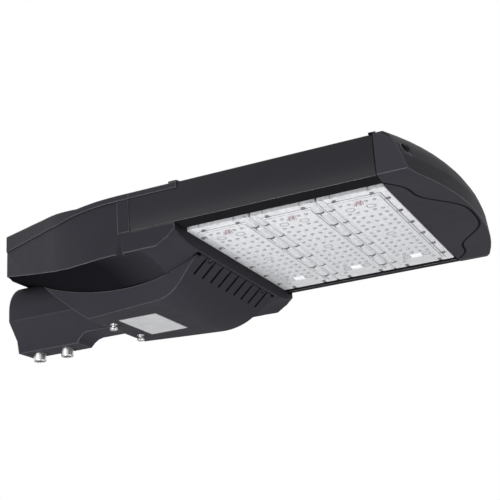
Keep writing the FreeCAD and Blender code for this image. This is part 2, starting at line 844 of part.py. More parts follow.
def rear_housing():
    outer, tub = housing_tub()
    front = size("front_wall_place")
    start = size("extrusion_start") - 0.2
    half = size("head_width / 2")
    arris = size("lens_face_height + bevel_height")
    strip = box_shape((start - size("strip_width"), start), (-half, half), (arris, size("crease_height")))
    strip_room = (start - size("strip_width") - 1, start - 4)
    strip_hollow = box_shape(strip_room, (6 - half, half - 6), (arris - 1, 90))
    pocket_half = half - size("bevel_width + rim_width") - 0.4
    shelf_top = size("lens_face_height + pocket_depth") - 0.2
    shelf = box_shape((start, front), (-pocket_half, pocket_half), (size("lens_face_height") - 2, shelf_top))
    ear = size(OUTER)
    boss_x = (size("spigot_ear_start"), size("spigot_ear_start + spigot_ear_length"))
    width = size("spigot_ear_width")
    bosses = box_shape(boss_x, (-ear - width, ear + width), (-30, size("spigot_ear_height"))).common(outer)
    tabs = []
    tab = size("cover_tab_width")
    for x, y in cover_screw_places():
        side = math.copysign(1, y)
        low = crease(x) - size("cover_tab_thickness")
        reach = sorted((y - side * tab / 2, side * (half_width(x) - 1)))
        tabs.append(box_shape((x - tab / 2, x + tab / 2), reach, (low, low + 40)))
    wall = size("housing_wall")
    saddle = x_rod(ear + size("notch_clearance") + wall, 0, size("door_rear_top"), 0, 0)
    inner = [one.common(outer) for one in tabs + [saddle]]
    solid = tub.fuse([strip.cut(strip_hollow), shelf, bosses] + inner)
    solid = solid.fuse(hinge_lugs())
    solid = solid.cut(housing_holes())
    node("rear_housing", shape_of("housing_casting", solid.removeSplitter()))


def hinge_axis():
    """Axis of the hinge bead: the bead touches the door's slope from inside at the door's front end."""
    angle = math.radians(size("door_slope_angle"))
    radius = size("hinge_bead_radius")
    x = size("door_front")
    z = slope_height(x)
    return x - radius * math.sin(angle), z + radius * math.cos(angle)


def slope_height(x):
    rise = math.tan(math.radians(size("door_slope_angle")))
    return (x - size("door_slope_place")) * rise - size("door_bottom")


def y_rod(radius, x, z, y_low, y_high):
    return Part.makeCylinder(radius, y_high - y_low, Vector(x, y_low, z), Vector(0, 1, 0))


def x_rod(radius, x_low, x_high, y, z):
    return Part.makeCylinder(radius, x_high - x_low, Vector(x_low, y, z), Vector(1, 0, 0))


def z_rod(radius, x, y, z_low, z_high):
    return Part.makeCylinder(radius, z_high - z_low, Vector(x, y, z_low), Vector(0, 0, 1))


def hinge_spans(margin):
    """The near and the far lug's stretch along the hinge axis."""
    half = size("hinge_lug_width") / 2 + margin
    place_y = size("hinge_lug_place")
    return [(-place_y - half, -place_y + half), (place_y - half, place_y + half)]


def hinge_lugs():
    x, z = hinge_axis()
    radius = size("hinge_bead_radius")
    top = size("lens_face_height - shelf_depth") + 1
    lugs = []
    for low, high in hinge_spans(0):
        ear = box_shape((x - radius, x + radius), (low, high), (z, top))
        lugs.append(ear.fuse(y_rod(radius, x, z, low, high)))
    return lugs


def housing_holes():
    """Seats and clearances cut from the finished walls."""
    x, z = hinge_axis()
    seat_radius = size("hinge_bead_radius + hinge_bead_clearance")
    half = door_edge(size("door_front")) + 1.5
    seat_spans = [(-half, -size("hinge_lug_place + hinge_lug_width / 2"))]
    inner = size("hinge_lug_place - hinge_lug_width / 2")
    seat_spans.append((-inner, inner))
    seat_spans.append((-seat_spans[0][1], half))
    tools = []
    swing = seat_radius + size("hinge_swing_room")
    for low, high in seat_spans:
        tools.append(y_rod(seat_radius, x, z, low, high))
        tools.append(box_shape((x - seat_radius, x + swing), (low, high), (z - 20, z)))
    for low, high in hinge_spans(1):
        tools.append(y_rod(size("hinge_pin_diameter / 2"), x, z, low, high))
    clear = size(OUTER) + size("notch_clearance")
    end = size("spigot_length") + 0.4
    tools.append(x_rod(clear, -5, end, 0, 0))
    tools.append(box_shape((-5, end), (-clear, clear), (-60, 0)))
    tools.append(door_gasket_shape())
    for sign in ("-1", "1"):
        spot = spigot_screw_spot(sign)
        top = size("spigot_ear_height")
        low = top + size("spigot_ear_thickness - spigot_screw_length") - 0.5
        radius = size("spigot_screw_diameter / 2") + 0.02
        tools.append(z_rod(radius, size(spot["x"]), size(spot["y"]), low, top + 1))
    for x, y in cover_screw_places():
        tools.append(z_rod(size("cover_screw_diameter / 2") + 0.2, x, y, crease(x) - 30, crease(x) + 5))
    start = size("extrusion_start")
    for y, height in port_places():
        tools.append(x_rod(size("port_screw_diameter / 2") + 0.1, start - 8, start + 1, y, height))
    return tools


def port_places():
    side = size("port_place")
    height = size("port_height")
    return [(-side, height), (side, height)]


def door_gasket_shape():
    """Seal that lies in the housing's flange round the opening, and follows the seam."""
    thickness = size("door_gasket_thickness")
    width = size("door_gasket_width")
    ring = slab(mouth_outline(width + 0.5), -60, 40).cut(slab(mouth_outline(0.5), -60, 40))
    first = size("mouth_start") - 20
    last = size("mouth_end") + 15
    low_rear, low_front = seam_edges(first, last, 0)
    high_rear, high_front = seam_edges(first, last, thickness)
    ends = [
        line(low_front.Vertexes[-1].Point, high_front.Vertexes[-1].Point),
        line(high_rear.Vertexes[0].Point, low_rear.Vertexes[0].Point),
    ]
    band = side_profile([low_rear, low_front, ends[0], high_front, high_rear, ends[1]], 150)
    return ring.common(band)


def top_cover():
    """Cast lid: a crowned roof over a short skirt, with two posts for the gear tray."""
    wall = size("cover_wall")
    lip = size("cover_lip")
    end = size("cover_band_end")
    base = size("crease_height") - 1
    outer = plan_prism(-lip, 0, end, base - 10, BEYOND).common(above_crease(0)).cut(above_roof(0, 12))
    lowered = above_roof(-wall, 6)
    inner = plan_prism(wall - lip, wall, end + 5, base - 20, BEYOND).cut(lowered)
    half = size("head_width / 2") + 0.3
    seat_span = (size("extrusion_start") - 0.5, end + 50)
    seat = box_shape(seat_span, (-half, half), (0, size("extrusion_top") + 0.3))
    low = size("tray_height + tray_thickness")
    side = half_width(end) + lip
    band_low = size("roof_height") - 4
    band = box_shape((size("cover_band_start"), end), (-side, side), (band_low, BEYOND))
    band = band.cut(above_roof(size("cover_band_height"), 12))
    posts = [z_rod(size("tray_boss_diameter / 2"), x, y, low, 140) for x, y in tray_boss_places()]
    reach = size("cover_tab_width / 2")
    for x, y in cover_screw_places():
        posts.append(box_shape((x - reach, x + reach), (y - reach, y + reach), (crease(x - reach), 140)))
    within = above_roof(-wall / 2, 12)
    posts = [post.cut(within) for post in posts]
    tapped = size("tray_screw_diameter / 2") + 0.02
    holes = [z_rod(tapped, x, y, low - 1, low + 10) for x, y in tray_boss_places()]
    for x, y in cover_screw_places():
        tip = cover_screw_tip(x)
        holes.append(z_rod(size("cover_screw_diameter / 2") + 0.02, x, y, tip - 40, tip + 0.2))
    solid = outer.fuse(band).cut([inner, seat]).fuse(posts).cut(holes)
    node("top_cover", shape_of("cover_casting", solid.removeSplitter()))


def cover_screw_places():
    """Where the cover is screwed down: at a rear and a front tab on each side wall."""
    places = []
    for x in (size("cover_tab_rear_place"), size("cover_tab_front_place")):
        y = half_width(x) - size("cover_tab_inset")
        places += [(x, -y), (x, y)]
    return places


def cover_screw_tip(x):
    return crease(x) - size("cover_tab_thickness - cover_screw_length + cover_screw_head_height")


def tray_boss_places():
    y = size("tray_width / 2 - tray_boss_inset")
    return [(size("tray_boss_place"), -y), (size("tray_boss_place"), y)]


def cover_screws():
    """Hexagon screws that come up through the housing's tabs into the cover."""
    screws = []
    radius = size("cover_screw_diameter / 2")
    across = size("cover_screw_head_radius")
    height = size("cover_screw_head_height")
    for x, y in cover_screw_places():
        face = crease(x) - size("cover_tab_thickness")
        corners = []
        for i in range(6):
            turn = i * math.pi / 3
            corners.append(Vector(x + across * math.cos(turn), y + across * math.sin(turn), face - height))
        head = Part.Face(Part.makePolygon(corners + corners[:1])).extrude(Vector(0, 0, height))
        screws.append(head.fuse(z_rod(radius, x, y, face - 1, cover_screw_tip(x))))
    node("cover_screws", shape_of("cover_screw_set", Part.makeCompound(screws)))


# Heat sink extrusion


def heatsink_body():
    body = doc.addObject("PartDesign::Body", "extrusion")
    half = "head_width / 2"
    bevel = "lens_face_height + bevel_height"
    rim = f"( {half} - bevel_width )"
    pocket = f"( {half} - bevel_width - rim_width )"
    floor = "( lens_face_height + pocket_depth )"
    right = [
        (rim, "lens_face_height"),
        (half, bevel),
        (half, "extrusion_top"),
        (f"{half} - extrusion_wall", "extrusion_top"),
        (f"{half} - extrusion_wall", f"{floor} + heat_sink_base"),
    ]
    left = [(f"- ( {a} )", b) for a, b in reversed(right)]
    corners = right + left + [
        (f"- {pocket}", "lens_face_height"),
        (f"- {pocket}", floor),
        (pocket, floor),
        (pocket, "lens_face_height"),
    ]
    sketch = polygon_sketch(body, "extrusion_outline", "YZ_Plane", corners)
    pad = body.newObject("PartDesign::Pad", "extrusion_pad")
    pad.Profile = sketch
    bind(pad, Length="extrusion_end - extrusion_start")
    doc.recompute()
    root = f"{floor} + heat_sink_base - 1"
    count = 2 * int(size("( head_width / 2 - extrusion_wall - 12 ) / fin_pitch")) + 1
    span = f"{count - 1} * fin_pitch"
    fin_low = f"- ( {span} ) / 2"
    fin_corners = [
        (f"{fin_low} - fin_thickness / 2", root),
        (f"{fin_low} + fin_thickness / 2", root),
        (f"{fin_low} + fin_thickness / 2", f"{root} + 1 + fin_height"),
        (f"{fin_low} - fin_thickness / 2", f"{root} + 1 + fin_height"),
    ]
    fin_sketch = polygon_sketch(body, "fin_outline", "YZ_Plane", fin_corners)
    fin = body.newObject("PartDesign::Pad", "fin_pad")
    fin.Profile = fin_sketch
    bind(fin, Length="extrusion_end - extrusion_start")
    doc.recompute()
    rows = body.newObject("PartDesign::LinearPattern", "fin_rows")
    rows.Originals = [fin]
    rows.Direction = (fin_sketch, ["H_Axis"])
    bind(rows, Length=span)
    rows.Occurrences = count
    body.Tip = rows
    place(body, x="extrusion_start")
    ports = []
    holes = []
    for side, sign in (("near", "-1"), ("far", "1")):
        y = f"{sign} * port_place"
        span_x = ("extrusion_start", "extrusion_end")
        ports.append(rod(f"screw_port_{side}", "x", "port_radius", span_x, y=y, z="port_height"))
        hole_x = ("extrusion_start - 1", "extrusion_end + 1")
        bore = "port_screw_diameter / 2 + 0.02"
        holes.append(rod(f"port_hole_{side}", "x", bore, hole_x, y=y, z="port_height"))
    solid = fuse("extrusion_with_ports", [body] + ports)
    node("heatsink_body", cut("extrusion_drilled", solid, holes))


# Nose cap


def cap_corner(z):
    """Place along the head of the edge between the cap's side and its nose."""
    low = size("lens_face_height")
    share = (z - low) / (size("cap_top") - low)
    back = size("nose_corner_lean") * share + size("nose_corner_turn") * share ** 6
    return size("nose_length - nose_sag") - back


def cap_tip(z):
    """Place along the head of the nose on the middle plane."""
    low = size("lens_face_height")
    share = (z - low) / (size("cap_top") - low)
    return size("nose_length") - size("nose_lean") * share ** size("nose_lean_power")


def cap_form(inset, steps):
    """Level sections whose nose is a flat bow that leans back and turns over towards the top."""
    low = size("lens_face_height")
    high = size("cap_top")
    back = size("extrusion_end")
    half = size("head_width / 2 + cap_lip") - inset
    sections = []
    for share in (0, 0.4, 0.65, 0.8, 0.9, 0.96, 1):
        z = low + share * (high - low)
        tip = cap_tip(z) - inset
        corner = cap_corner(z) - inset
        level = low + inset + share * (high - low - 2 * inset)
        section = [Vector(back, -half, level)]
        for i in range(steps + 1):
            across_share = 2 * i / steps - 1
            bow = abs(across_share) ** size("nose_plan_power")
            section.append(Vector(tip - (tip - corner) * bow, across_share * half, level))
        sections.append(section + [Vector(back, half, level)])
    return faceted_loft(sections)


def wave_line(offset):
    """Half of the wave on the cap's underside: hand-set places from the side edge to the nose."""
    half = size("head_width / 2 - bevel_width")
    start = size("extrusion_end")
    reach = size("nose_length") - start
    shape = [
        (1.0, 0.0), (0.905, 0.15), (0.827, 0.25), (0.633, 0.32), (0.432, 0.6), (0.24, 0.87), (0.0, 0.935),
    ]
    near = [Vector(start + reach * b, -half * a, 0) for a, b in shape]
    far = [Vector(p.x, -p.y, 0) for p in reversed(near[:-1])]
    curve = Part.BSplineCurve()
    curve.interpolate(near + far)
    return curve.toShape() if offset == 0 else curve


def wave_groove():
    depth = size("wave_groove_depth")
    width = size("wave_groove_width")
    path = Part.Wire([wave_line(0)])
    low = size("lens_face_height")
    curve = wave_line(1)
    first = curve.FirstParameter
    start = curve.value(first)
    along = curve.tangent(first)[0]
    aside = Vector(-along.y, along.x, 0)
    corners = [
        start + aside * (width / 2) + Vector(0, 0, -1),
        start - aside * (width / 2) + Vector(0, 0, -1),
        start + Vector(0, 0, depth),
    ]
    profile = Part.makePolygon(corners + corners[:1])
    groove = path.makePipeShell([profile], True, False)
    groove.translate(Vector(0, 0, low))
    return groove


def end_cap():
    wall = size("cap_wall")
    low = size("lens_face_height")
    outer = cap_form(0, 16)
    inner = cap_form(wall, 8)
    inner_back = inner.copy()
    inner_back.translate(Vector(-wall, 0, 0))
    half = size("head_width / 2 + cap_lip")
    rim = half - size("bevel_width")
    rise = size("bevel_height")
    back = size("extrusion_end")
    tip = size("nose_length") + 10
    bevels = []
    for sign in (-1, 1):
        corners = [
            Vector(back - 1, sign * rim, low),
            Vector(back - 1, sign * (half + 1), low + rise + rise / size("bevel_width")),
            Vector(back - 1, sign * (half + 1), low - 2),
            Vector(back - 1, sign * rim, low - 2),
        ]
        face = Part.Face(Part.makePolygon(corners + corners[:1]))
        bevels.append(face.extrude(Vector(tip - back, 0, 0)))
    shell = outer.cut([inner, inner_back] + bevels)
    tower = []
    holes = []
    recess = size("cap_recess_diameter / 2")
    for y, height in port_places():
        tower.append(x_rod(recess + 2.5, back, tip, y, height))
        holes.append(x_rod(recess, size("cap_recess_place"), tip, y, height))
        holes.append(x_rod(size("port_screw_diameter / 2") + 0.1, back - 1, tip, y, height))
    towers = Part.makeCompound(tower).common(outer)
    first = back - size("cap_band_overlap")
    band_span = (first, first + size("cap_band_length"))
    band = box_shape(band_span, (-half, half), (size("extrusion_top"), size("cap_band_top")))
    solid = shell.fuse(towers.Solids + [band]).cut(holes)
    solid = solid.cut(wave_groove())
    node("end_cap", shape_of("nose_casting", solid.removeSplitter()))


def end_cap_screws():
    """Pan head screws along X, through the cap's corners into the extrusion's ports."""
    screws = []
    face = "cap_recess_place"
    for side, sign in (("near", "-1"), ("far", "1")):
        y = f"{sign} * port_place"
        tall = (face, f"{face} + cap_screw_head_height")
        head = rod(f"cap_screw_head_{side}", "x", "cap_screw_head_radius", tall, y=y, z="port_height")
        span = (f"{face} - cap_screw_length", f"{face} + 1")
        shank = rod(f"cap_screw_shank_{side}", "x", "port_screw_diameter / 2", span, y=y, z="port_height")
        screws.append(fuse(f"cap_screw_{side}", [head, shank]))
    node("end_cap_screws", group("cap_screw_pair", screws))


def housing_screws():
    """Hexagon screws from inside the compartment into the other end of the ports."""
    screws = []
    face = "extrusion_start - 4.2"
    for side, sign in (("near", "-1"), ("far", "1")):
        y = f"{sign} * port_place"
        head = (f"{face} - housing_screw_head_height", face)
        shank = (f"{face} - 1", f"{face} + housing_screw_length")
        widths = ("housing_screw_head_width", "port_screw_diameter")
        screws.append(hex_screw(f"housing_screw_{side}", "x", widths, head, shank, y=y, z="port_height"))
    node("housing_screws", group("housing_screw_pair", screws))


# LED modules


def modules():
    face = "lens_face_height"
    plate_top = "( lens_face_height + lens_plate_height )"
    floor = "( lens_face_height + pocket_depth )"
    half = "module_length / 2"
    for i in range(int(size("module_count"))):
        number = i + 1
        low = f"( module_start + {i} * module_pitch + module_gap / 2 )"
        high = f"( module_start + {number} * module_pitch - module_gap / 2 )"
        plate = block(f"lens_slab_{number}", (low, high), (f"- {half}", half), (face, plate_top))
        room = block(
            f"lens_room_{number}",
            (f"{low} + lens_side_rim", f"{high} - lens_side_rim"),
            (f"- {half} + lens_end_rim", f"{half} - lens_end_rim"),
            (f"{face} + lens_face", f"{plate_top} + 1"),
        )
        node(f"lens_plate_{number}", cut(f"lens_tray_{number}", plate, [room]))
        seal_out = block(f"seal_slab_{number}", (low, high), (f"- {half}", half), (plate_top, floor))
        seal_in = block(
            f"seal_room_{number}",
            (f"{low} + module_gasket_width", f"{high} - module_gasket_width"),
            (f"- {half} + module_gasket_width", f"{half} - module_gasket_width"),
            (f"{plate_top} - 1", f"{floor} + 1"),
        )
        node(f"module_gasket_{number}", cut(f"seal_{number}", seal_out, [seal_in]))
        board = block(
            f"board_slab_{number}",
            (f"{low} + board_side_margin", f"{high} - board_side_margin"),
            (f"- {half} + board_end_margin", f"{half} - board_end_margin"),
            (f"{floor} - board_thickness", floor),
        )
        node(f"led_board_{number}", board)


def module_screw_spots(i):
    """Two columns and two pairs of end screws on one module, as pairs of expressions."""
    spots = []
    rows = int(size("module_screw_rows"))
    middle = f"module_start + ( {i} + 0.5 ) * module_pitch"
    for sign in ("-1", "1"):
        column = f"{middle} + {sign} * module_screw_columns / 2"
        for row in range(rows):
            spots.append((column, f"( {row} - ( {rows} - 1 ) / 2 ) * module_screw_pitch"))
        for side in ("-1", "1"):
            end = f"{middle} + {side} * module_end_screw_spacing / 2"
            spots.append((end, f"{sign} * module_end_screw_place"))
    return spots


def module_screws():
    """Only their heads: the screws are many and small, and nothing of their shanks shows."""
    heads = []
    span = ("lens_face_height - module_screw_head_height", "lens_face_height")
    for i in range(int(size("module_count"))):
        for k, (x, y) in enumerate(module_screw_spots(i)):
            heads.append(hexagon(f"module_screw_{i}_{k}", "z", "module_screw_head_width", span, x=x, y=y))
    node("module_screws", group("module_screw_set", heads))


def board_connectors():
    floor = "( lens_face_height + pocket_depth )"
    blocks = []
    for i in range(int(size("module_count"))):
        middle = f"module_start + ( {i} + 0.5 ) * module_pitch"
        top = f"{floor} - board_thickness"
        blocks.append(block(
            f"connector_{i + 1}",
            (f"{middle} - connector_length / 2", f"{middle} + connector_length / 2"),
            ("connector_place - connector_width / 2", "connector_place + connector_width / 2"),
            (f"{top} - connector_height", top),
        ))
    node("board_connectors", group("connector_set", blocks))


# Gear door


def door_solid(inset):
    """The boat-shaped door as a solid: flared sides cut by its side view."""
    low_level = -size("door_bottom") - 4
    high_level = size("door_high_level")
    rear_x = size("door_rear_top") - 4
    front_x = size("front_wall_place")
    rear, middle, front = door_high_arc()

    def outline(z, curve):
        near = [Vector(x, -y, z) for y, x in curve]
        far = [Vector(x, y, z) for y, x in curve]
        edges = [line(far[0], near[0]), arc(*near), line(near[2], far[2]), arc(far[2], far[1], far[0])]
        return Part.Wire(edges)

    mid_x = middle.x
    low = [
        (door_low(rear_x) - inset, rear_x),
        (door_low(mid_x) - inset + 0.4, mid_x),
        (door_low(front_x) - inset, front_x),
    ]
    high = [(rear.y - inset - 2, rear_x), (middle.y - inset, mid_x), (front.y - inset, front_x)]
    flare = loft([outline(low_level, low), outline(high_level, high)], ruled=True)
    return flare.common(side_profile(door_side_edges(inset), 150))


def door_side_edges(inset):
    """Side view of the door, closed along the seam; an inset leaves the seam side open."""
    bottom = -size("door_bottom") + inset
    angle = math.radians(size("door_slope_angle"))
    radius = size("door_slope_radius") - inset
    shift = inset / math.tan((math.pi - angle) / 2)
    bend = size("door_slope_place") - shift
    tangent = radius * math.tan(angle / 2)
    arc_start = across(bend - tangent, bottom)
    arc_end = across(bend + tangent * math.cos(angle), bottom + tangent * math.sin(angle))
    half_turn = angle / 2
    arc_middle = across(
        arc_start.x + radius * math.sin(half_turn), bottom + radius * (1 - math.cos(half_turn)),
    )
    front = across(size("door_front") - inset * 1.2, 0)
    front.z = bottom + (front.x - bend) * math.tan(angle)
    rear_top = size("door_rear_top")
    rear_rise = seam(rear_top) - size("door_gap") + size("door_bottom")
    rear_slope = rear_rise / (size("door_rear_bottom") - rear_top)
    rear_shift = inset * math.sqrt(1 + rear_slope ** 2) / rear_slope

    def rear_line(z):
        return size("door_rear_bottom") + rear_shift - (z + size("door_bottom")) / rear_slope

    rear_low = across(rear_line(bottom), bottom)
    edges = [line(rear_low, arc_start), arc(arc_start, arc_middle, arc_end), line(arc_end, front)]
    if inset:
        top = size("door_high_level") + 20
        edges.append(line(front, across(front.x, top)))
        edges.append(line(across(front.x, top), across(rear_line(top), top)))
        edges.append(line(across(rear_line(top), top), rear_low))
        return edges
    rear_arc, front_arc = seam_edges(rear_top, size("door_front") - 4, -size("door_gap"))
    edges.append(line(front, front_arc.Vertexes[-1].Point))
    edges.extend([front_arc, rear_arc])
    edges.append(line(rear_arc.Vertexes[0].Point, rear_low))
    return edges


def gear_door():
    wall = size("door_wall")
    outer = door_solid(0)
    shell = outer.cut(door_solid(wall))
    x, z = hinge_axis()
    radius = size("hinge_bead_radius")
    half = size("hinge_bead_half_length")
    shell = shell.fuse(y_rod(radius, x, z, -half, half))
    tools = []
    room = radius + 0.6
    for low, high in hinge_spans(size("hinge_lug_side_gap")):
        tools.append(box_shape((x - room, x + radius + 2), (low, high), (z - room, z + radius + 2)))
    pin = size("hinge_pin_diameter / 2 + hinge_running_clearance")
    for low, high in hinge_pin_spans(0.3):
        tools.append(y_rod(pin, x, z, low, high))
    clear = size(OUTER) + size("notch_clearance")
    tools.append(box_shape((0, size("door_rear_bottom")), (-clear, clear), (-60, 60)))
    for sign in (-1, 1):
        y = sign * size("door_screw_spacing") / 2
        tools.append(z_rod(size("door_screw_diameter / 2") + 0.02, size("door_screw_place"), y, -60, -30))
    tools.extend(vent_slots())
    node("gear_door", shape_of("door_casting", shell.cut(tools)))


def vent_slots():
    """Slots down the door's front slope, through its wall; over the hinge bead they run out as grooves."""
    slots = []
    count = int(size("vent_count"))
    length = size("vent_length")
    width = size("vent_width")
    angle = size("door_slope_angle")
    run_out = 2 * size("vent_margin") / math.cos(math.radians(angle))
    top = Vector(size("vent_top"), 0, slope_height(size("vent_top")))
    for i in range(count):
        low = (i - (count - 1) / 2) * size("vent_pitch") - width / 2
        slot = Part.makeBox(length, width, 8, Vector(-length, low, -3))
        groove_low = Vector(-run_out, low, size("vent_run_out_depth") - 8)
        groove = Part.makeBox(2 * run_out, width, 8, groove_low)
        slot = slot.fuse(groove)
        slot.rotate(Vector(), Vector(0, 1, 0), -angle)
        slot.translate(top)
        slots.append(slot)
    return slots


def door_screws():
    screws = []
    for side, sign in (("near", "-1"), ("far", "1")):
        screws.append(cap_screw(
            f"door_screw_{side}", "door_screw_diameter / 2", "door_screw_head_diameter / 2",
            "door_screw_head_height", "- door_bottom", "- door_bottom + door_screw_reach",
            "door_screw_place", f"{sign} * door_screw_spacing / 2",
        ))
    node("door_screws", group("door_screw_pair", screws))


def hinge_pin_spans(margin):
    """Each pin runs from its lug's outer face into the middle stretch of the door's bead."""
    outer_end = size("hinge_lug_place + hinge_lug_width / 2")
    inner_end = outer_end - size("hinge_pin_length") - margin
    return [(-outer_end, -inner_end), (inner_end, outer_end)]


def hinge_pins():
    x, z = hinge_axis()
    radius = size("hinge_pin_diameter / 2")
    pins = [y_rod(radius, x, z, low, high) for low, high in hinge_pin_spans(0)]
    node("hinge_pins", shape_of("hinge_pin_pair", Part.makeCompound(pins)))


def door_gasket():
    node("door_gasket", shape_of("door_seal", door_gasket_shape()))


# Gear compartment


def gear_tray():
    top = "tray_height + tray_thickness"
    half = "tray_width / 2"
    plate = block(
        "tray_plate", ("tray_start", "tray_start + tray_length"), (f"- {half}", half), ("tray_height", top),
    )
    holes = []
    screws = []
    for side, sign in (("near", "-1"), ("far", "1")):
        x = "tray_boss_place"
        y = f"{sign} * ( tray_width / 2 - tray_boss_inset )"
        hole_span = ("tray_height - 1", f"{top} + 1")
        holes.append(rod(f"tray_hole_{side}", "z", "tray_screw_diameter / 2 + 0.2", hole_span, x=x, y=y))
        head = ("tray_height - 3", "tray_height")
        shank = ("tray_height - 1", f"{top} + 8")
        widths = ("tray_screw_head_width", "tray_screw_diameter")
        screws.append(hex_screw(f"tray_screw_{side}", "z", widths, head, shank, x=x, y=y))
    node("gear_tray", cut("tray_drilled", plate, holes))
    node("tray_screws", group("tray_screw_pair", screws))


def led_driver():
    half = "driver_length / 2"
    low = "tray_height - driver_height"
    x = ("driver_start", "driver_start + driver_width")
    case = block("driver_case", x, (f"- {half}", half), (low, "tray_height"))
    rounded = doc.addObject("Part::Chamfer", "driver_chamfer")
    rounded.Base = case
    doc.recompute()
    edges = [i + 1 for i, e in enumerate(case.Shape.Edges) if abs(e.tangentAt(e.FirstParameter).y) > 0.9]
    rounded.Edges = [(i, 2.0, 2.0) for i in edges]
    node("led_driver", rounded)


def terminal_block():
    low = "tray_height - terminal_height"
    x = ("terminal_start", "terminal_start + terminal_width")
    y = ("terminal_place - terminal_length / 2", "terminal_place + terminal_length / 2")
    case = block("terminal_case", x, y, (low, "tray_height"))
    wells = []
    well_x = ("terminal_start + 4", "terminal_start + 10")
    for i in range(4):
        middle = f"terminal_place + ( {i} - 1.5 ) * terminal_length / 4"
        spread = (f"{middle} - terminal_length / 12", f"{middle} + terminal_length / 12")
        wells.append(block(f"terminal_well_{i}", well_x, spread, (f"{low} - 1", f"{low} + 8")))
    node("terminal_block", cut("terminal_body", case, wells))


def surge_protector():
    low = "tray_height - surge_height"
    x = ("surge_start", "surge_start + surge_width")
    y = ("surge_place - surge_length / 2", "surge_place + surge_length / 2")
    node("surge_protector", block("surge_case", x, y, (low, "tray_height")))


def cable_gland():
    face = "spigot_length"
    nut_end = f"{face} + gland_nut_thickness"
    dome_end = f"{nut_end} + gland_dome_length"
    z = "cable_hole_height"
    nut = hexagon("gland_nut", "x", "gland_nut_width", (face, nut_end), z=z)
    dome = rod("gland_dome", "x", "gland_dome_diameter / 2", (f"{nut_end} - 1", dome_end), z=z)
    bore = rod("gland_bore", "x", "gland_bore_diameter / 2", (f"{face} - 1", f"{dome_end} + 1"), z=z)
    node("cable_gland", cut("gland", fuse("gland_solid", [nut, dome]), [bore]))


def build():
    pole_spigot()
    clamp_bolts()
    spigot_screws()
    rear_housing()
    top_cover()
    heatsink_body()
    end_cap()
    end_cap_screws()
    housing_screws()
    cover_screws()
    modules()
    module_screws()
    board_connectors()
    gear_door()
    door_screws()
    hinge_pins()
    door_gasket()
    gear_tray()
    led_driver()
    terminal_block()
    surge_protector()
    cable_gland()


def check_and_write():
    doc.recompute()
    for thing in doc.Objects:
        if "Invalid" in thing.State or "Error" in thing.State:
            raise RuntimeError(f"{thing.Label}: {thing.State}")
    for name, thing in NODES.items():
        if thing.Shape.isNull() or not thing.Shape.isValid():
            raise RuntimeError(f"{name}: its shape is null or not valid")
    os.makedirs("parts", exist_ok=True)
    for name, thing in NODES.items():
        thing.Shape.exportStep(f"parts/{name}.step")
        print(name, len(thing.Shape.Solids), round(thing.Shape.Volume / 1000, 1), "cm3")


build()
check_and_write()
hinge_x, hinge_z = hinge_axis()
print("hinge axis", round(hinge_x, 3), round(hinge_z, 3))
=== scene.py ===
"""Looks of the LED street light head: powder-coated castings, clear lens plates, plated screws."""
import bpy
import json
import math
from mathutils import Matrix, Vector


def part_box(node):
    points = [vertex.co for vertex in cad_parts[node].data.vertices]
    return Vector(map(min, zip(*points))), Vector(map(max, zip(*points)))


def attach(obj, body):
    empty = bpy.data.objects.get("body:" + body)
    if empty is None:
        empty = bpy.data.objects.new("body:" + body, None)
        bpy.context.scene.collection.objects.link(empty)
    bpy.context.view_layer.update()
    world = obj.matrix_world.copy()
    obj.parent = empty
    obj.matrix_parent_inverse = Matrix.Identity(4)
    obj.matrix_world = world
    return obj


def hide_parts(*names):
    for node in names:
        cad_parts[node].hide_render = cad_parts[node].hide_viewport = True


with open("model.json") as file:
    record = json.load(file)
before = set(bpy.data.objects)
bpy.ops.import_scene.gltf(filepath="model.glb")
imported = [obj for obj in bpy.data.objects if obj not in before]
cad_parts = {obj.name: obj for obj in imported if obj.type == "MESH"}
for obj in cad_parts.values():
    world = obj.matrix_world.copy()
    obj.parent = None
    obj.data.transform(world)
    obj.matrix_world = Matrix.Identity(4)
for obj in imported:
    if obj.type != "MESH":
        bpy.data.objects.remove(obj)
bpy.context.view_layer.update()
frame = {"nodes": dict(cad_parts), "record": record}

MM = 0.001

# Camera: looks up at the underside from the near side, with the spigot on the left

CAMERA_AZIMUTH = math.radians(23.76)
CAMERA_ELEVATION = math.radians(-18.87)
CAMERA_ROLL = math.radians(-3.78)
CAMERA_PLACE = Vector((0.8351, -1.1560, -0.4038))
CAMERA_LENS = 79.5


def add_camera():
    a, e, r = CAMERA_AZIMUTH, CAMERA_ELEVATION, CAMERA_ROLL
    back = Vector((math.sin(a) * math.cos(e), -math.cos(a) * math.cos(e), math.sin(e)))
    right = (-back).cross(Vector((0, 0, 1))).normalized()
    up = right.cross(-back)
    side = right * math.cos(r) + up * math.sin(r)
    top = up * math.cos(r) - right * math.sin(r)
    data = bpy.data.cameras.new("camera")
    data.lens = CAMERA_LENS
    data.sensor_width = 36
    camera = bpy.data.objects.new("camera", data)
    camera.matrix_world = Matrix.Translation(CAMERA_PLACE) @ Matrix((side, top, back)).transposed().to_4x4()
    bpy.context.collection.objects.link(camera)
    bpy.context.scene.camera = camera


# Studio: pale floor, white surroundings for the camera, soft lamps

FLOOR_HEIGHT = -1.0
FLOOR_WIDTH = 12.0
WORLD_LEVEL = 0.45


def seen_directly(tree):
    """1 for rays from the camera, for reflections and for what is seen through clear parts."""
    path = tree.nodes.new("ShaderNodeLightPath")
    total = path.outputs["Is Camera Ray"]
    for kind in ("Is Glossy Ray", "Is Transmission Ray"):
        either = tree.nodes.new("ShaderNodeMath")
        either.operation = "MAXIMUM"
        tree.links.new(total, either.inputs[0])
        tree.links.new(path.outputs[kind], either.inputs[1])
        total = either.outputs[0]
    return total


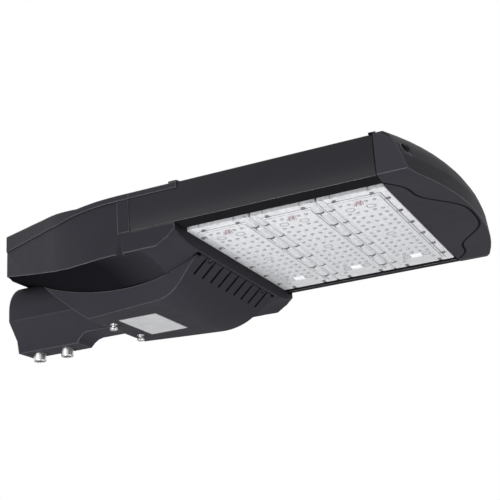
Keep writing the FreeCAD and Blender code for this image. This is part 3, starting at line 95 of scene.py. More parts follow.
def add_surroundings():
    world = bpy.data.worlds.new("studio")
    bpy.context.scene.world = world
    world.use_nodes = True
    tree = world.node_tree
    light = tree.nodes["Background"]
    light.inputs["Color"].default_value = (1, 1, 1, 1)
    light.inputs["Strength"].default_value = WORLD_LEVEL
    white = tree.nodes.new("ShaderNodeBackground")
    white.inputs["Color"].default_value = (1, 1, 1, 1)
    white.inputs["Strength"].default_value = 1.0
    mix = tree.nodes.new("ShaderNodeMixShader")
    tree.links.new(seen_directly(tree), mix.inputs["Fac"])
    tree.links.new(light.outputs[0], mix.inputs[1])
    tree.links.new(white.outputs[0], mix.inputs[2])
    tree.links.new(mix.outputs[0], tree.nodes["World Output"].inputs["Surface"])


def add_floor():
    bpy.ops.mesh.primitive_plane_add(size=FLOOR_WIDTH, location=(0.3, 0, FLOOR_HEIGHT))
    floor = bpy.context.active_object
    floor.name = "floor"
    paint = bpy.data.materials.new("floor_paint")
    paint.use_nodes = True
    shader = paint.node_tree.nodes["Principled BSDF"]
    shader.inputs["Base Color"].default_value = (0.6, 0.6, 0.61, 1)
    shader.inputs["Roughness"].default_value = 0.8
    floor.data.materials.append(paint)


def soft_lamp(name, place, aim, power, width, depth):
    data = bpy.data.lights.new(name, "AREA")
    data.shape = "RECTANGLE"
    data.energy = power
    data.size = width
    data.size_y = depth
    lamp = bpy.data.objects.new(name, data)
    lamp.location = place
    lamp.rotation_euler = (Vector(aim) - Vector(place)).to_track_quat("-Z", "Y").to_euler()
    bpy.context.collection.objects.link(lamp)


def add_lamps():
    middle = (0.3, 0, 0)
    soft_lamp("front_lamp", (-0.5, -2.6, 0.1), middle, 14, 2.0, 0.5)
    soft_lamp("edge_lamp", (0.1, -1.0, -0.7), (0.1, -0.1, 0), 10, 0.6, 0.3)
    soft_lamp("low_lamp", (0.6, 0.1, -0.95), (0.45, 0, 0), 5, 0.9, 0.9)
    soft_lamp("top_lamp", (0.3, 0.6, 2.2), middle, 40, 2.5, 2.5)


# Finishes


def new_finish(name, colour, roughness, metallic=0.0, **sockets):
    """A material with its shader and its Object coordinates."""
    finish = bpy.data.materials.new(name)
    finish.use_nodes = True
    shader = finish.node_tree.nodes["Principled BSDF"]
    shader.inputs["Base Color"].default_value = (*colour, 1)
    shader.inputs["Roughness"].default_value = roughness
    shader.inputs["Metallic"].default_value = metallic
    for label, value in sockets.items():
        shader.inputs[label.replace("_", " ")].default_value = value
    coords = finish.node_tree.nodes.new("ShaderNodeTexCoord")
    return finish, coords.outputs["Object"]


def noise(finish, coords, scale, detail, stretch=(1, 1, 1)):
    tree = finish.node_tree
    mapping = tree.nodes.new("ShaderNodeMapping")
    mapping.inputs["Scale"].default_value = stretch
    tree.links.new(coords, mapping.inputs["Vector"])
    cloud = tree.nodes.new("ShaderNodeTexNoise")
    cloud.inputs["Scale"].default_value = scale
    cloud.inputs["Detail"].default_value = detail
    tree.links.new(mapping.outputs["Vector"], cloud.inputs["Vector"])
    return cloud.outputs["Fac"]


def vary_colour(finish, source, dark, light, spread=0.25):
    tree = finish.node_tree
    ramp = tree.nodes.new("ShaderNodeValToRGB")
    ramp.color_ramp.elements[0].position = 0.5 - spread
    ramp.color_ramp.elements[0].color = (*dark, 1)
    ramp.color_ramp.elements[1].position = 0.5 + spread
    ramp.color_ramp.elements[1].color = (*light, 1)
    tree.links.new(source, ramp.inputs["Fac"])
    tree.links.new(ramp.outputs["Color"], tree.nodes["Principled BSDF"].inputs["Base Color"])


def remap(tree, source, start, end, low, high):
    """A value between start and end brought to the span from low to high."""
    span = tree.nodes.new("ShaderNodeMapRange")
    for socket, value in (("From Min", start), ("From Max", end), ("To Min", low), ("To Max", high)):
        span.inputs[socket].default_value = value
    tree.links.new(source, span.inputs["Value"])
    return span.outputs["Result"]


def vary_roughness(finish, source, low, high):
    tree = finish.node_tree
    tree.links.new(remap(tree, source, 0, 1, low, high), tree.nodes["Principled BSDF"].inputs["Roughness"])


def add_grain(finish, source, depth, strength=0.5, edge=0.0):
    """A fine relief; edge is the radius to which sharp arrises look rounded."""
    tree = finish.node_tree
    bump = tree.nodes.new("ShaderNodeBump")
    bump.inputs["Strength"].default_value = strength
    bump.inputs["Distance"].default_value = depth
    tree.links.new(source, bump.inputs["Height"])
    if edge:
        rounded = tree.nodes.new("ShaderNodeBevel")
        rounded.samples = 6
        rounded.inputs["Radius"].default_value = edge
        tree.links.new(rounded.outputs["Normal"], bump.inputs["Normal"])
    tree.links.new(bump.outputs["Normal"], tree.nodes["Principled BSDF"].inputs["Normal"])


def tint(finish, share, colour):
    """Lay a colour over the finish's own, as much as share says."""
    tree = finish.node_tree
    base = tree.nodes["Principled BSDF"].inputs["Base Color"]
    blend = tree.nodes.new("ShaderNodeMix")
    blend.data_type = "RGBA"
    tree.links.new(share, blend.inputs["Factor"])
    tree.links.new(base.links[0].from_socket, blend.inputs[6])
    blend.inputs[7].default_value = (*colour, 1)
    tree.links.new(blend.outputs[2], base)


def openness(tree, reach, start, end):
    """1 where a surface lies open, 0 in a hollow."""
    shelter = tree.nodes.new("ShaderNodeAmbientOcclusion")
    shelter.samples = 6
    shelter.inputs["Distance"].default_value = reach
    return remap(tree, shelter.outputs["AO"], start, end, 0, 1)


def paint_scoop_shade(finish, coords, colour):
    """Painted shade in the scoop: the colour is darker and less glossy where the housing faces down, and
    clear of its front end.
    """
    tree = finish.node_tree
    surface = tree.nodes.new("ShaderNodeNewGeometry")
    share = tree.nodes.new("ShaderNodeMath")
    share.operation = "MULTIPLY"
    spans = ((surface.outputs["Normal"], "Z", -0.1, -0.5), (coords, "X", 0.275, 0.2))
    for k, (source, axis, start, end) in enumerate(spans):
        parts = tree.nodes.new("ShaderNodeSeparateXYZ")
        tree.links.new(source, parts.inputs[0])
        tree.links.new(remap(tree, parts.outputs[axis], start, end, 0, 1), share.inputs[k])
    tint(finish, share.outputs[0], colour)
    level = tree.nodes["Principled BSDF"].inputs["Specular IOR Level"]
    tree.links.new(remap(tree, share.outputs[0], 0, 1, level.default_value, 0), level)


def paint_edge_highlights(finish, radius, colour, gloss):
    """Painted highlights on the outer arrises: a lighter colour and more gloss within a radius; inner corners
    stay as they are.
    """
    tree = finish.node_tree
    rounded = tree.nodes.new("ShaderNodeBevel")
    rounded.samples = 8
    rounded.inputs["Radius"].default_value = radius
    surface = tree.nodes.new("ShaderNodeNewGeometry")
    turn = tree.nodes.new("ShaderNodeVectorMath")
    turn.operation = "DOT_PRODUCT"
    tree.links.new(rounded.outputs["Normal"], turn.inputs[0])
    tree.links.new(surface.outputs["Normal"], turn.inputs[1])
    mask = tree.nodes.new("ShaderNodeMath")
    mask.operation = "MULTIPLY"
    tree.links.new(remap(tree, turn.outputs["Value"], 0.98, 0.9, 0, 1), mask.inputs[0])
    tree.links.new(openness(tree, 3 * radius, 0.7, 0.95), mask.inputs[1])
    tint(finish, mask.outputs[0], colour)
    level = tree.nodes["Principled BSDF"].inputs["Specular IOR Level"]
    gleam = tree.nodes.new("ShaderNodeMath")
    gleam.operation = "MULTIPLY_ADD"
    tree.links.new(mask.outputs[0], gleam.inputs[0])
    gleam.inputs[1].default_value = gloss
    gleam.inputs[2].default_value = level.default_value
    if level.is_linked:
        tree.links.new(level.links[0].from_socket, gleam.inputs[2])
    tree.links.new(gleam.outputs[0], level)


def black_powder_coat(name, tone=1.0, edge_highlights=True, scoop_shade=False):
    """Fine-textured coat of the castings; tone scales its colour. It can carry painted highlights on its
    arrises and painted shade in the scoop.
    """
    colour = Vector((0.0295, 0.0284, 0.0352)) * tone
    finish, coords = new_finish(name, colour, 0.55, Specular_IOR_Level=0.05)
    vary_colour(finish, noise(finish, coords, 9, 2), colour * 0.9, colour * 1.1)
    vary_roughness(finish, noise(finish, coords, 60, 3), 0.52, 0.62)
    add_grain(finish, noise(finish, coords, 1500, 2), 0.00006, 0.3, edge=0.0026)
    # Painted shade in the scoop
    if scoop_shade:
        paint_scoop_shade(finish, coords, (0.008, 0.0077, 0.0096))
    # Painted highlights on the arrises
    if edge_highlights:
        paint_edge_highlights(finish, 0.0024, (0.075, 0.074, 0.082), 0.4)
    return finish


def black_extrusion_coat():
    finish, coords = new_finish("black_extrusion_coat", (0.015, 0.0145, 0.0185), 0.3, Specular_IOR_Level=0.18)
    vary_colour(finish, noise(finish, coords, 9, 2), (0.0133, 0.0129, 0.0164), (0.0167, 0.0161, 0.0206))
    vary_roughness(finish, noise(finish, coords, 40, 3, stretch=(0.05, 1, 1)), 0.27, 0.34)
    add_grain(finish, noise(finish, coords, 700, 2, stretch=(0.03, 1, 1)), 0.00004, 0.3, edge=0.0016)
    # Painted highlights on the arrises
    paint_edge_highlights(finish, 0.0016, (0.06, 0.059, 0.067), 0.45)
    return finish


def shaded_coat():
    """Painted shade: a near-black matt coat along seams, in slots and in the wave line, and on the rims
    beside the modules.
    """
    finish, coords = new_finish("shaded_coat", (0.008, 0.0078, 0.009), 0.75, Specular_IOR_Level=0.04)
    vary_colour(finish, noise(finish, coords, 30, 2), (0.0065, 0.0063, 0.0075), (0.0095, 0.0092, 0.0108))
    add_grain(finish, noise(finish, coords, 1500, 2), 0.00005, 0.3)
    return finish


def clear_plate_plastic():
    finish, coords = new_finish("clear_plate_plastic", (0.62, 0.625, 0.64), 0.3)
    vary_colour(finish, noise(finish, coords, 240, 3), (0.5, 0.505, 0.525), (0.74, 0.745, 0.76), 0.3)
    vary_roughness(finish, noise(finish, coords, 200, 2), 0.24, 0.38)
    add_grain(finish, noise(finish, coords, 500, 2), 0.00003, 0.2, edge=0.0005)
    return finish


# Painted shade: the clear lenses and ring bosses are coloured grey, as they look in shade
def clear_dome_plastic():
    finish, coords = new_finish("clear_dome_plastic", (0.36, 0.37, 0.39), 0.14)
    vary_colour(finish, noise(finish, coords, 260, 2), (0.28, 0.285, 0.305), (0.43, 0.435, 0.46))
    vary_roughness(finish, noise(finish, coords, 300, 2), 0.08, 0.2)
    return finish


def zinc_plate():
    finish, coords = new_finish("zinc_plate", (0.72, 0.72, 0.71), 0.28, metallic=1.0)
    vary_colour(finish, noise(finish, coords, 300, 3), (0.62, 0.62, 0.62), (0.8, 0.8, 0.79))
    vary_roughness(finish, noise(finish, coords, 500, 3), 0.18, 0.36)
    add_grain(finish, noise(finish, coords, 900, 3, stretch=(1, 1, 0.1)), 0.00003, 0.3, edge=0.0004)
    return finish


# Painted shade: a darker copy of the plated steel, for the heads of the module screws
def dark_steel():
    finish, coords = new_finish("dark_steel", (0.16, 0.16, 0.165), 0.32, metallic=0.6)
    vary_colour(finish, noise(finish, coords, 300, 3), (0.12, 0.12, 0.125), (0.22, 0.22, 0.225))
    vary_roughness(finish, noise(finish, coords, 500, 3), 0.24, 0.4)
    return finish


def label_foil():
    finish, coords = new_finish("label_foil", (0.6, 0.6, 0.6), 0.35, metallic=0.35)
    vary_colour(finish, noise(finish, coords, 70, 4), (0.53, 0.54, 0.55), (0.65, 0.65, 0.65))
    vary_roughness(finish, noise(finish, coords, 300, 2, stretch=(0.1, 1, 1)), 0.28, 0.42)
    return finish


def label_border():
    finish, coords = new_finish("label_border", (0.3, 0.3, 0.3), 0.4)
    vary_colour(finish, noise(finish, coords, 200, 2), (0.26, 0.26, 0.27), (0.34, 0.34, 0.35))
    return finish


def galvanised_sheet():
    finish, coords = new_finish("galvanised_sheet", (0.55, 0.56, 0.57), 0.4, metallic=1.0)
    tree = finish.node_tree
    spangle = tree.nodes.new("ShaderNodeTexVoronoi")
    spangle.inputs["Scale"].default_value = 160
    tree.links.new(coords, spangle.inputs["Vector"])
    vary_colour(finish, spangle.outputs["Distance"], (0.45, 0.46, 0.47), (0.66, 0.67, 0.68))
    vary_roughness(finish, spangle.outputs["Distance"], 0.3, 0.5)
    return finish


def white_solder_resist():
    finish, coords = new_finish("white_solder_resist", (0.85, 0.86, 0.86), 0.35)
    vary_colour(finish, noise(finish, coords, 120, 3), (0.8, 0.81, 0.81), (0.9, 0.9, 0.9))
    add_grain(finish, noise(finish, coords, 900, 2), 0.00002, 0.2)
    return finish


def seal_rubber():
    finish, coords = new_finish("seal_rubber", (0.05, 0.05, 0.05), 0.75)
    vary_colour(finish, noise(finish, coords, 250, 3), (0.035, 0.035, 0.036), (0.065, 0.065, 0.066))
    add_grain(finish, noise(finish, coords, 1600, 2), 0.00005, 0.4)
    return finish


def moulded_plastic(name, dark, light, roughness):
    finish, coords = new_finish(name, light, roughness)
    vary_colour(finish, noise(finish, coords, 90, 3), dark, light)
    vary_roughness(finish, noise(finish, coords, 200, 2), roughness - 0.06, roughness + 0.08)
    add_grain(finish, noise(finish, coords, 1300, 2), 0.00003, 0.3, edge=0.0004)
    return finish


def satin_aluminium():
    finish, coords = new_finish("satin_aluminium", (0.6, 0.61, 0.63), 0.35, metallic=1.0)
    vary_colour(finish, noise(finish, coords, 50, 3), (0.54, 0.55, 0.57), (0.64, 0.65, 0.67))
    vary_roughness(finish, noise(finish, coords, 500, 2, stretch=(1, 0.03, 1)), 0.28, 0.42)
    add_grain(finish, noise(finish, coords, 900, 2, stretch=(1, 0.03, 1)), 0.00003, 0.3, edge=0.0006)
    return finish


FINISHES = {
    "black_casting": black_powder_coat("black_powder_coat"),
    "black_extrusion": black_extrusion_coat(),
    "zinc_steel": zinc_plate(),
    "galvanised_sheet": galvanised_sheet(),
    "clear_lens": clear_plate_plastic(),
    "white_board": white_solder_resist(),
    "seal_rubber": seal_rubber(),
    "white_plastic": moulded_plastic("white_plastic", (0.74, 0.74, 0.71), (0.84, 0.84, 0.81), 0.4),
    "black_plastic": moulded_plastic("black_plastic", (0.02, 0.02, 0.02), (0.035, 0.035, 0.035), 0.45),
    "driver_case": satin_aluminium(),
}
DOME_PAINTED_SHADE = clear_dome_plastic()
SCREW_STEEL_SHADE = dark_steel()
PAINTED_SHADE_COAT = shaded_coat()
# The casting coat without painted edge highlights
PLAIN_COAT = black_powder_coat("plain_powder_coat", edge_highlights=False)
# Painted shade on the rim bevels beside the modules: the casting coat at half its colour
RIM_BEVEL_SHADE_COAT = black_powder_coat("dim_powder_coat", tone=0.5, edge_highlights=False)
# Painted light on the cap's side walls: a lighter copy of the casting coat
CAP_SIDE_LIT_COAT = black_powder_coat("cap_side_coat", tone=1.35)
# The housing's coat: a slightly darker copy of the casting coat, which is painted shade, with more painted
# shade in its scoop
SCOOP_SHADE_COAT = black_powder_coat("housing_powder_coat", tone=0.88, scoop_shade=True)
WHITE_PLUG = moulded_plastic("white_plug", (0.86, 0.86, 0.87), (0.94, 0.94, 0.95), 0.35)
LABEL_FOIL = label_foil()
LABEL_BORDER = label_border()
# Painted shadow round the steps of the plates
STEP_SHADOW_LINE = moulded_plastic("seal_line", (0.2, 0.2, 0.21), (0.28, 0.28, 0.29), 0.5)
RED_LEAD = moulded_plastic("red_lead", (0.6, 0.42, 0.45), (0.7, 0.52, 0.55), 0.35)
DARK_LEAD = moulded_plastic("dark_lead", (0.2, 0.19, 0.21), (0.3, 0.29, 0.31), 0.35)


def coat_cad_nodes():
    """Give every CAD node the finish of its slot in the record."""
    slots = {part["node"]: part["material_slot"] for part in frame["record"]["subparts"]}
    for name, thing in frame["nodes"].items():
        thing.data.materials.clear()
        thing.data.materials.append(FINISHES[slots[name]])


# Modelling by hand


def deselect():
    if bpy.context.mode != "OBJECT":
        bpy.ops.object.mode_set(mode="OBJECT")
    bpy.ops.object.select_all(action="DESELECT")


def take(thing):
    """Make one object the only one selected."""
    deselect()
    thing.select_set(True)
    bpy.context.view_layer.objects.active = thing


def settle(thing):
    """Put a finished object's place into its mesh."""
    take(thing)
    bpy.ops.object.transform_apply(location=True, rotation=True, scale=True)


def pick(thing, faces=None, edges=None, verts=None):
    """Enter edit mode with only the faces, edges or corners that pass a test selected."""
    take(thing)
    bpy.ops.object.mode_set(mode="EDIT")
    kind = "FACE" if faces else "EDGE" if edges else "VERT"
    bpy.ops.mesh.select_mode(type=kind)
    bpy.ops.mesh.select_all(action="DESELECT")
    bpy.ops.object.mode_set(mode="OBJECT")
    mesh = thing.data
    if faces:
        for face in mesh.polygons:
            face.select = faces(face)
    if edges:
        for edge in mesh.edges:
            a, b = (mesh.vertices[k].co for k in edge.vertices)
            edge.select = edges(a, b)
    if verts:
        for vert in mesh.vertices:
            vert.select = verts(vert.co)
    bpy.ops.object.mode_set(mode="EDIT")


def done():
    bpy.ops.object.mode_set(mode="OBJECT")


def block(name, low, high):
    deselect()
    low, high = Vector(low), Vector(high)
    bpy.ops.mesh.primitive_cube_add(size=1, location=(low + high) / 2)
    thing = bpy.context.active_object
    thing.name = name
    thing.scale = high - low
    settle(thing)
    return thing


def drum(name, centre, radius, depth, sides=24):
    deselect()
    bpy.ops.mesh.primitive_cylinder_add(vertices=sides, radius=radius, depth=depth, location=centre)
    thing = bpy.context.active_object
    thing.name = name
    settle(thing)
    return thing


def join(name, things):
    deselect()
    for thing in things:
        thing.select_set(True)
    bpy.context.view_layer.objects.active = things[0]
    bpy.ops.object.join()
    things[0].name = name
    return things[0]


def copy_to(thing, place, name):
    twin = thing.copy()
    twin.data = thing.data.copy()
    twin.name = name
    bpy.context.collection.objects.link(twin)
    twin.location = place
    settle(twin)
    return twin


def carve(thing, tool):
    """Cut one object out of another and drop the tool."""
    take(thing)
    cut = thing.modifiers.new("cut", "BOOLEAN")
    cut.operation = "DIFFERENCE"
    cut.solver = "EXACT"
    cut.object = tool
    bpy.ops.object.modifier_apply(modifier=cut.name)
    bpy.data.objects.remove(tool)


def round_edges(thing, width, steps=2, angle=35):
    take(thing)
    bevel = thing.modifiers.new("bevel", "BEVEL")
    bevel.width = width
    bevel.segments = steps
    bevel.limit_method = "ANGLE"
    bevel.angle_limit = math.radians(angle)
    bpy.ops.object.modifier_apply(modifier=bevel.name)
    bpy.ops.object.shade_smooth_by_angle(angle=math.radians(40))


def turned(name, centre, steps, sides=28):
    """A turned piece along Z: a disc that is extruded and resized through (radius, height) steps."""
    deselect()
    radius, height = steps[0]
    origin = Vector(centre)
    bpy.ops.mesh.primitive_circle_add(
        vertices=sides, radius=radius, fill_type="NGON", location=origin + Vector((0, 0, height)))
    thing = bpy.context.active_object
    thing.name = name
    settle(thing)
    pick(thing, faces=lambda face: True)
    for after, level in steps[1:]:
        bpy.ops.mesh.extrude_region_move(TRANSFORM_OT_translate={"value": (0, 0, level - height)})
        scale = after / radius
        bpy.ops.transform.resize(value=(scale, scale, 1), center_override=origin + Vector((0, 0, level)))
        radius, height = after, level
    bpy.ops.mesh.select_all(action="SELECT")
    bpy.ops.mesh.normals_make_consistent(inside=False)
    done()
    return thing


def finish_piece(thing, body, slot, finish, *replaced):
    """Give a piece its finish and its body, and hide the CAD nodes that it stands for; slot is not used."""
    thing.data.materials.clear()
    thing.data.materials.append(finish)
    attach(thing, body)
    if replaced:
        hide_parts(*replaced)


# Castings and extrusion: merged copies of the solids, smooth between their sharp edges
# The places below are in the shared frame, on the faces that get a shape or a finish of their own

CASTINGS = ("rear_housing", "top_cover", "end_cap", "pole_spigot", "heatsink_body", "gear_door")
SEAM_WIDTH = 0.8 * MM
WALL_LOW = 16.7 * MM
WALL_HIGH = 61.9 * MM
WALL_BULGE = 0.7 * MM
WALL_STEP = 0.9 * MM
RIM_TOP = 16.8 * MM
VENT_START = 0.27
VENT_WALL_AREA = 90e-6
VENT_DRAW = 0.9 * MM
CAP_START = 0.5434
CAP_HALF_WIDTH = 0.16
WAVE_START = 0.545
WAVE_LOW = 13.95 * MM
WAVE_HIGH = 15.4 * MM
WAVE_WIDTH = 0.9 * MM
FRONT_END_START = 0.262


def merged_copy(node, name):
    """A copy of a node's solid whose facets share their corners."""
    source = frame["nodes"][node]
    thing = source.copy()
    thing.data = source.data.copy()
    thing.name = name
    for collection in source.users_collection:
        collection.objects.link(thing)
    thing.parent = None
    pick(thing, verts=lambda co: True)
    bpy.ops.mesh.remove_doubles(threshold=0.002 * MM)
    done()
    return thing


def smooth(thing):
    """Smooth shading between the arrises, weighted by the faces' areas."""
    take(thing)
    bpy.ops.object.shade_smooth_by_angle(angle=math.radians(17))
    even = thing.modifiers.new("even", "WEIGHTED_NORMAL")
    even.keep_sharp = True
    even.weight = 80
    bpy.ops.object.modifier_apply(modifier=even.name)


def shade_faces(thing, test, finish):
    """Give the faces that pass a test another finish."""
    if finish.name not in thing.data.materials:
        thing.data.materials.append(finish)
    index = thing.data.materials.find(finish.name)
    for face in thing.data.polygons:
        if test(face):
            face.material_index = index


def crown_walls(extrusion):
    """The side walls are a little crowned between their arrises, which step back from the castings."""
    wall = max(vert.co.y for vert in extrusion.data.vertices)
    rows = [WALL_LOW + (WALL_HIGH - WALL_LOW) * k / 8 for k in range(1, 8)]

    def in_row(co, side, *levels):
        at_level = any(abs(co.z - level) < 0.1 * MM for level in levels)
        return at_level and abs(co.y - side * wall) < 0.1 * MM

    def outer(face):
        return abs(face.normal.y) > 0.99 and abs(face.center.y) > wall - 0.1 * MM

    for level in rows:
        pick(extrusion, faces=outer)
        bpy.ops.mesh.bisect(plane_co=(0, 0, level), plane_no=(0, 0, 1))
        done()
    for side in (-1, 1):
        for level in rows:
            share = 2 * (level - WALL_LOW) / (WALL_HIGH - WALL_LOW) - 1
            pick(extrusion, verts=lambda co: in_row(co, side, level))
            out = WALL_BULGE - (WALL_BULGE + WALL_STEP) * share ** 2
            bpy.ops.transform.translate(value=(0, side * out, 0))
            done()
        pick(extrusion, verts=lambda co: in_row(co, side, WALL_LOW, WALL_HIGH))
        bpy.ops.transform.translate(value=(0, -side * WALL_STEP, 0))
        done()


def is_vent_wall(face):
    return abs(face.normal.y) > 0.99 and face.area < VENT_WALL_AREA and face.center.x > VENT_START


def is_side_wall(face):
    return abs(face.normal.y) > 0.99 and abs(face.center.y) > CAP_HALF_WIDTH and face.center.x > CAP_START


def is_wave_groove(face):
    inside = WAVE_LOW < face.center.z < WAVE_HIGH and face.center.x > WAVE_START
    return inside and abs(face.normal.z) < 0.97


def is_wave_line(face):
    return face.select or is_wave_groove(face)


def is_rim(face):
    return face.center.z < RIM_TOP and face.normal.z < -0.5


def is_rim_bevel(face):
    return is_rim(face) and face.normal.z > -0.95


def is_door_slope(face):
    return face.normal.x > 0.5 and face.normal.z < -0.5


def is_front_underside(face):
    return face.center.x > FRONT_END_START and face.normal.z < -0.1


# Faces with a finish of their own: painted shade on the rims and their bevels, the vents' walls and the wave
# line; painted light on the cap's side walls; the plain coat leaves out the painted edge highlights
PART_FINISHES = {
    "heatsink_body": ((is_rim, PAINTED_SHADE_COAT), (is_rim_bevel, RIM_BEVEL_SHADE_COAT)),
    "end_cap": ((is_wave_line, PAINTED_SHADE_COAT), (is_side_wall, CAP_SIDE_LIT_COAT)),
    "gear_door": ((is_vent_wall, PAINTED_SHADE_COAT), (is_door_slope, PLAIN_COAT)),
    "rear_housing": ((is_front_underside, PLAIN_COAT),),
}


def widen_vents(door):
    """Draw the walls of the vents apart."""
    for side in (-1, 1):
        pick(door, faces=lambda face: is_vent_wall(face) and face.normal.y * side > 0)
        bpy.ops.transform.translate(value=(0, -side * VENT_DRAW, 0))
        done()


def outline_wave(cap):
    """A narrow strip of its own round the groove of the wave line, which gets painted shade; its faces stay
    selected.
    """
    pick(cap, faces=is_wave_groove)
    bpy.ops.mesh.inset(thickness=WAVE_WIDTH, use_outset=True, use_select_inset=True)
    done()


def seam_strips(node):
    """Where the painted shade runs along the extrusion's two ends: (edge of the strip, side of the seam)."""
    low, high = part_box("heatsink_body")
    if node == "heatsink_body":
        return (low[0] + SEAM_WIDTH, -1), (high[0] - SEAM_WIDTH, 1)
    if node == "end_cap":
        return ((high[0] + SEAM_WIDTH, -1),)
    return ()


def dress_castings():
    for node in CASTINGS:
        coated = merged_copy(node, f"{node}_coated")
        slot = "black_extrusion" if node == "heatsink_body" else "black_casting"
        body = "door" if node == "gear_door" else "head"
        if node == "heatsink_body":
            crown_walls(coated)
        if node == "gear_door":
            widen_vents(coated)
        for edge, side in seam_strips(node):
            pick(coated, faces=lambda face: True)
            bpy.ops.mesh.bisect(plane_co=(edge, 0, 0), plane_no=(1, 0, 0))
            done()
        if node == "end_cap":
            outline_wave(coated)
        finish_piece(coated, body, slot, SCOOP_SHADE_COAT if node == "rear_housing" else FINISHES[slot], node)
        smooth(coated)
        # Painted shade along the seams at the extrusion's ends
        for edge, side in seam_strips(node):
            shade_faces(coated, lambda face: side * (face.center.x - edge) > 0, PAINTED_SHADE_COAT)
        for test, finish in PART_FINISHES.get(node, ()):
            shade_faces(coated, test, finish)


# LED modules
# Bare numbers in these lists are millimetres from the module's middle

SCREW_COLUMN = 32.3 * MM
SCREW_PITCH = 42.66 * MM
END_SCREW_SPREAD = 21.0 * MM
END_SCREW_PLACE = 129.4 * MM
FIELD_STEPS = ((29.2 * MM, 126.0 * MM, 0.9 * MM), (26.6 * MM, 122.0 * MM, 1.5 * MM))
BITE_RADIUS = 5.2 * MM
NOTCH_RADIUS = 2.2 * MM
INNER_COLUMNS = (-9.8, 0, 9.8)
INNER_ROWS = (-114.9, -85.6, -67.4, -50.3, -33.1, -15.9, 12.3, 29.5, 46.6, 64.8, 81.0)
OUTER_COLUMNS = (-18.8, 18.8)
OUTER_ROWS = (
    -114.9, -85.6, -72.5, -58.3, -43.2, -30.1, -15.9, -1.8, 12.3, 26.4, 40.6, 52.7, 66.8, 81.0, 109.2)
BOSSES = ((-13.9, -97.7), (9.8, -97.7), (0, 0), (-10.6, 95.1), (13.9, 95.1))
PLUG_PLACE = (1.6, 95.1)
LEAD_PLACE = (0.0, -110.8)
NEIGHBOUR_SIDES = {1: (1,), 2: (-1, 1), 3: (-1,)}


def module_middle(i):
    """Place of a module's middle along the head."""
    low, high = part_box(f"lens_plate_{i}")
    return (low[0] + high[0]) / 2


def column_rows(x, side):
    """Places of the screws in one of a module's two columns."""
    return [(x + side * SCREW_COLUMN, (row - 2.5) * SCREW_PITCH) for row in range(6)]


def end_places(x):
    """Places of the screws at a module's two ends."""
    return [(x + side * END_SCREW_SPREAD, end * END_SCREW_PLACE) for side in (-1, 1) for end in (-1, 1)]


def module_screw_places(x):
    return column_rows(x, -1) + column_rows(x, 1) + end_places(x)


def lens_places(x):
    places = [(x + column * MM, row * MM) for column in INNER_COLUMNS for row in INNER_ROWS]
    places += [(x + column * MM, row * MM) for column in OUTER_COLUMNS for row in OUTER_ROWS]
    return places


def field_face(face):
    """Height of the inner step's face, which the small fittings stand on."""
    return face - FIELD_STEPS[1][2]


def round_corners(plate, radius):
    """Bevel a flat block's upright edges."""
    pick(plate, edges=lambda a, b: abs(a.x - b.x) < 1e-5 and abs(a.y - b.y) < 1e-5)
    bpy.ops.mesh.bevel(offset=radius, segments=3, affect="EDGES")
    done()


def overlap_lip(edge, side, low, high, face):
    """The narrow lip of a plate over the joint to the next one, a little off the plate's edge."""
    length = (low[1] + 3 * MM, high[1] - 3 * MM)
    lip = block("lip", (edge - 1 * MM, length[0], face + 0.9 * MM), (edge + 1 * MM, length[1], face + 2 * MM))
    lip.location.x -= side * 0.35 * MM
    settle(lip)
    round_edges(lip, 0.3 * MM)
    return lip


def lens_cover(i):
    """Moulded plate: a flange, a raised field with round bites at the screws, a second step inside it."""
    low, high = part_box(f"lens_plate_{i}")
    x = module_middle(i)
    face = low[2]
    plate = block(f"plate_flange_{i}", low, high)
    round_corners(plate, 2 * MM)
    notches = []
    for sx, sy in end_places(x):
        end = high[1] if sy > 0 else low[1]
        notches.append(drum("notch", (sx, end, face), NOTCH_RADIUS, 30 * MM, 16))
    carve(plate, join("notches", notches))
    round_edges(plate, 0.5 * MM)
    parts = [plate]
    for k, (across, along, rise) in enumerate(FIELD_STEPS):
        top = (x + across, along, face + 0.5 * MM)
        field = block(f"plate_field_{i}_{k}", (x - across, -along, face - rise), top)
        if k == 0:
            places = module_screw_places(x)
            bites = [drum("bite", (sx, sy, face), BITE_RADIUS, 6 * MM, 20) for sx, sy in places]
            carve(field, join("bites", bites))
        round_edges(field, 0.35 * MM)
        parts.append(field)
    for side in NEIGHBOUR_SIDES[i]:
        edge = high[0] if side > 0 else low[0]
        parts.append(overlap_lip(edge, side, low, high, face))
    cover = join(f"lens_cover_{i}", parts)
    settle(cover)
    finish_piece(cover, "head", "clear_lens", FINISHES["clear_lens"], f"lens_plate_{i}")
    return face


def line_frame(name, low, high, width):
    """A thin rectangular frame of one width."""
    ring = block(name, low, high)
    room_low = (low[0] + width, low[1] + width, low[2] - MM)
    room_high = (high[0] - width, high[1] - width, high[2] + MM)
    carve(ring, block("room", room_low, room_high))
    return ring


def step_shadow_lines(i, face):
    """A painted shadow: a thin dark grey frame which shows as a dark line round each step of the plate."""
    x = module_middle(i)
    lines = []
    for across, along, rise in FIELD_STEPS:
        low = (x - across - 0.45 * MM, -along - 0.45 * MM, face - rise + 0.4 * MM)
        high = (x + across + 0.45 * MM, along + 0.45 * MM, face + 0.4 * MM)
        lines.append(line_frame("line", low, high, 1.1 * MM))
    group = join(f"seal_lines_{i}", lines)
    finish_piece(group, "head", "seal_rubber", STEP_SHADOW_LINE)


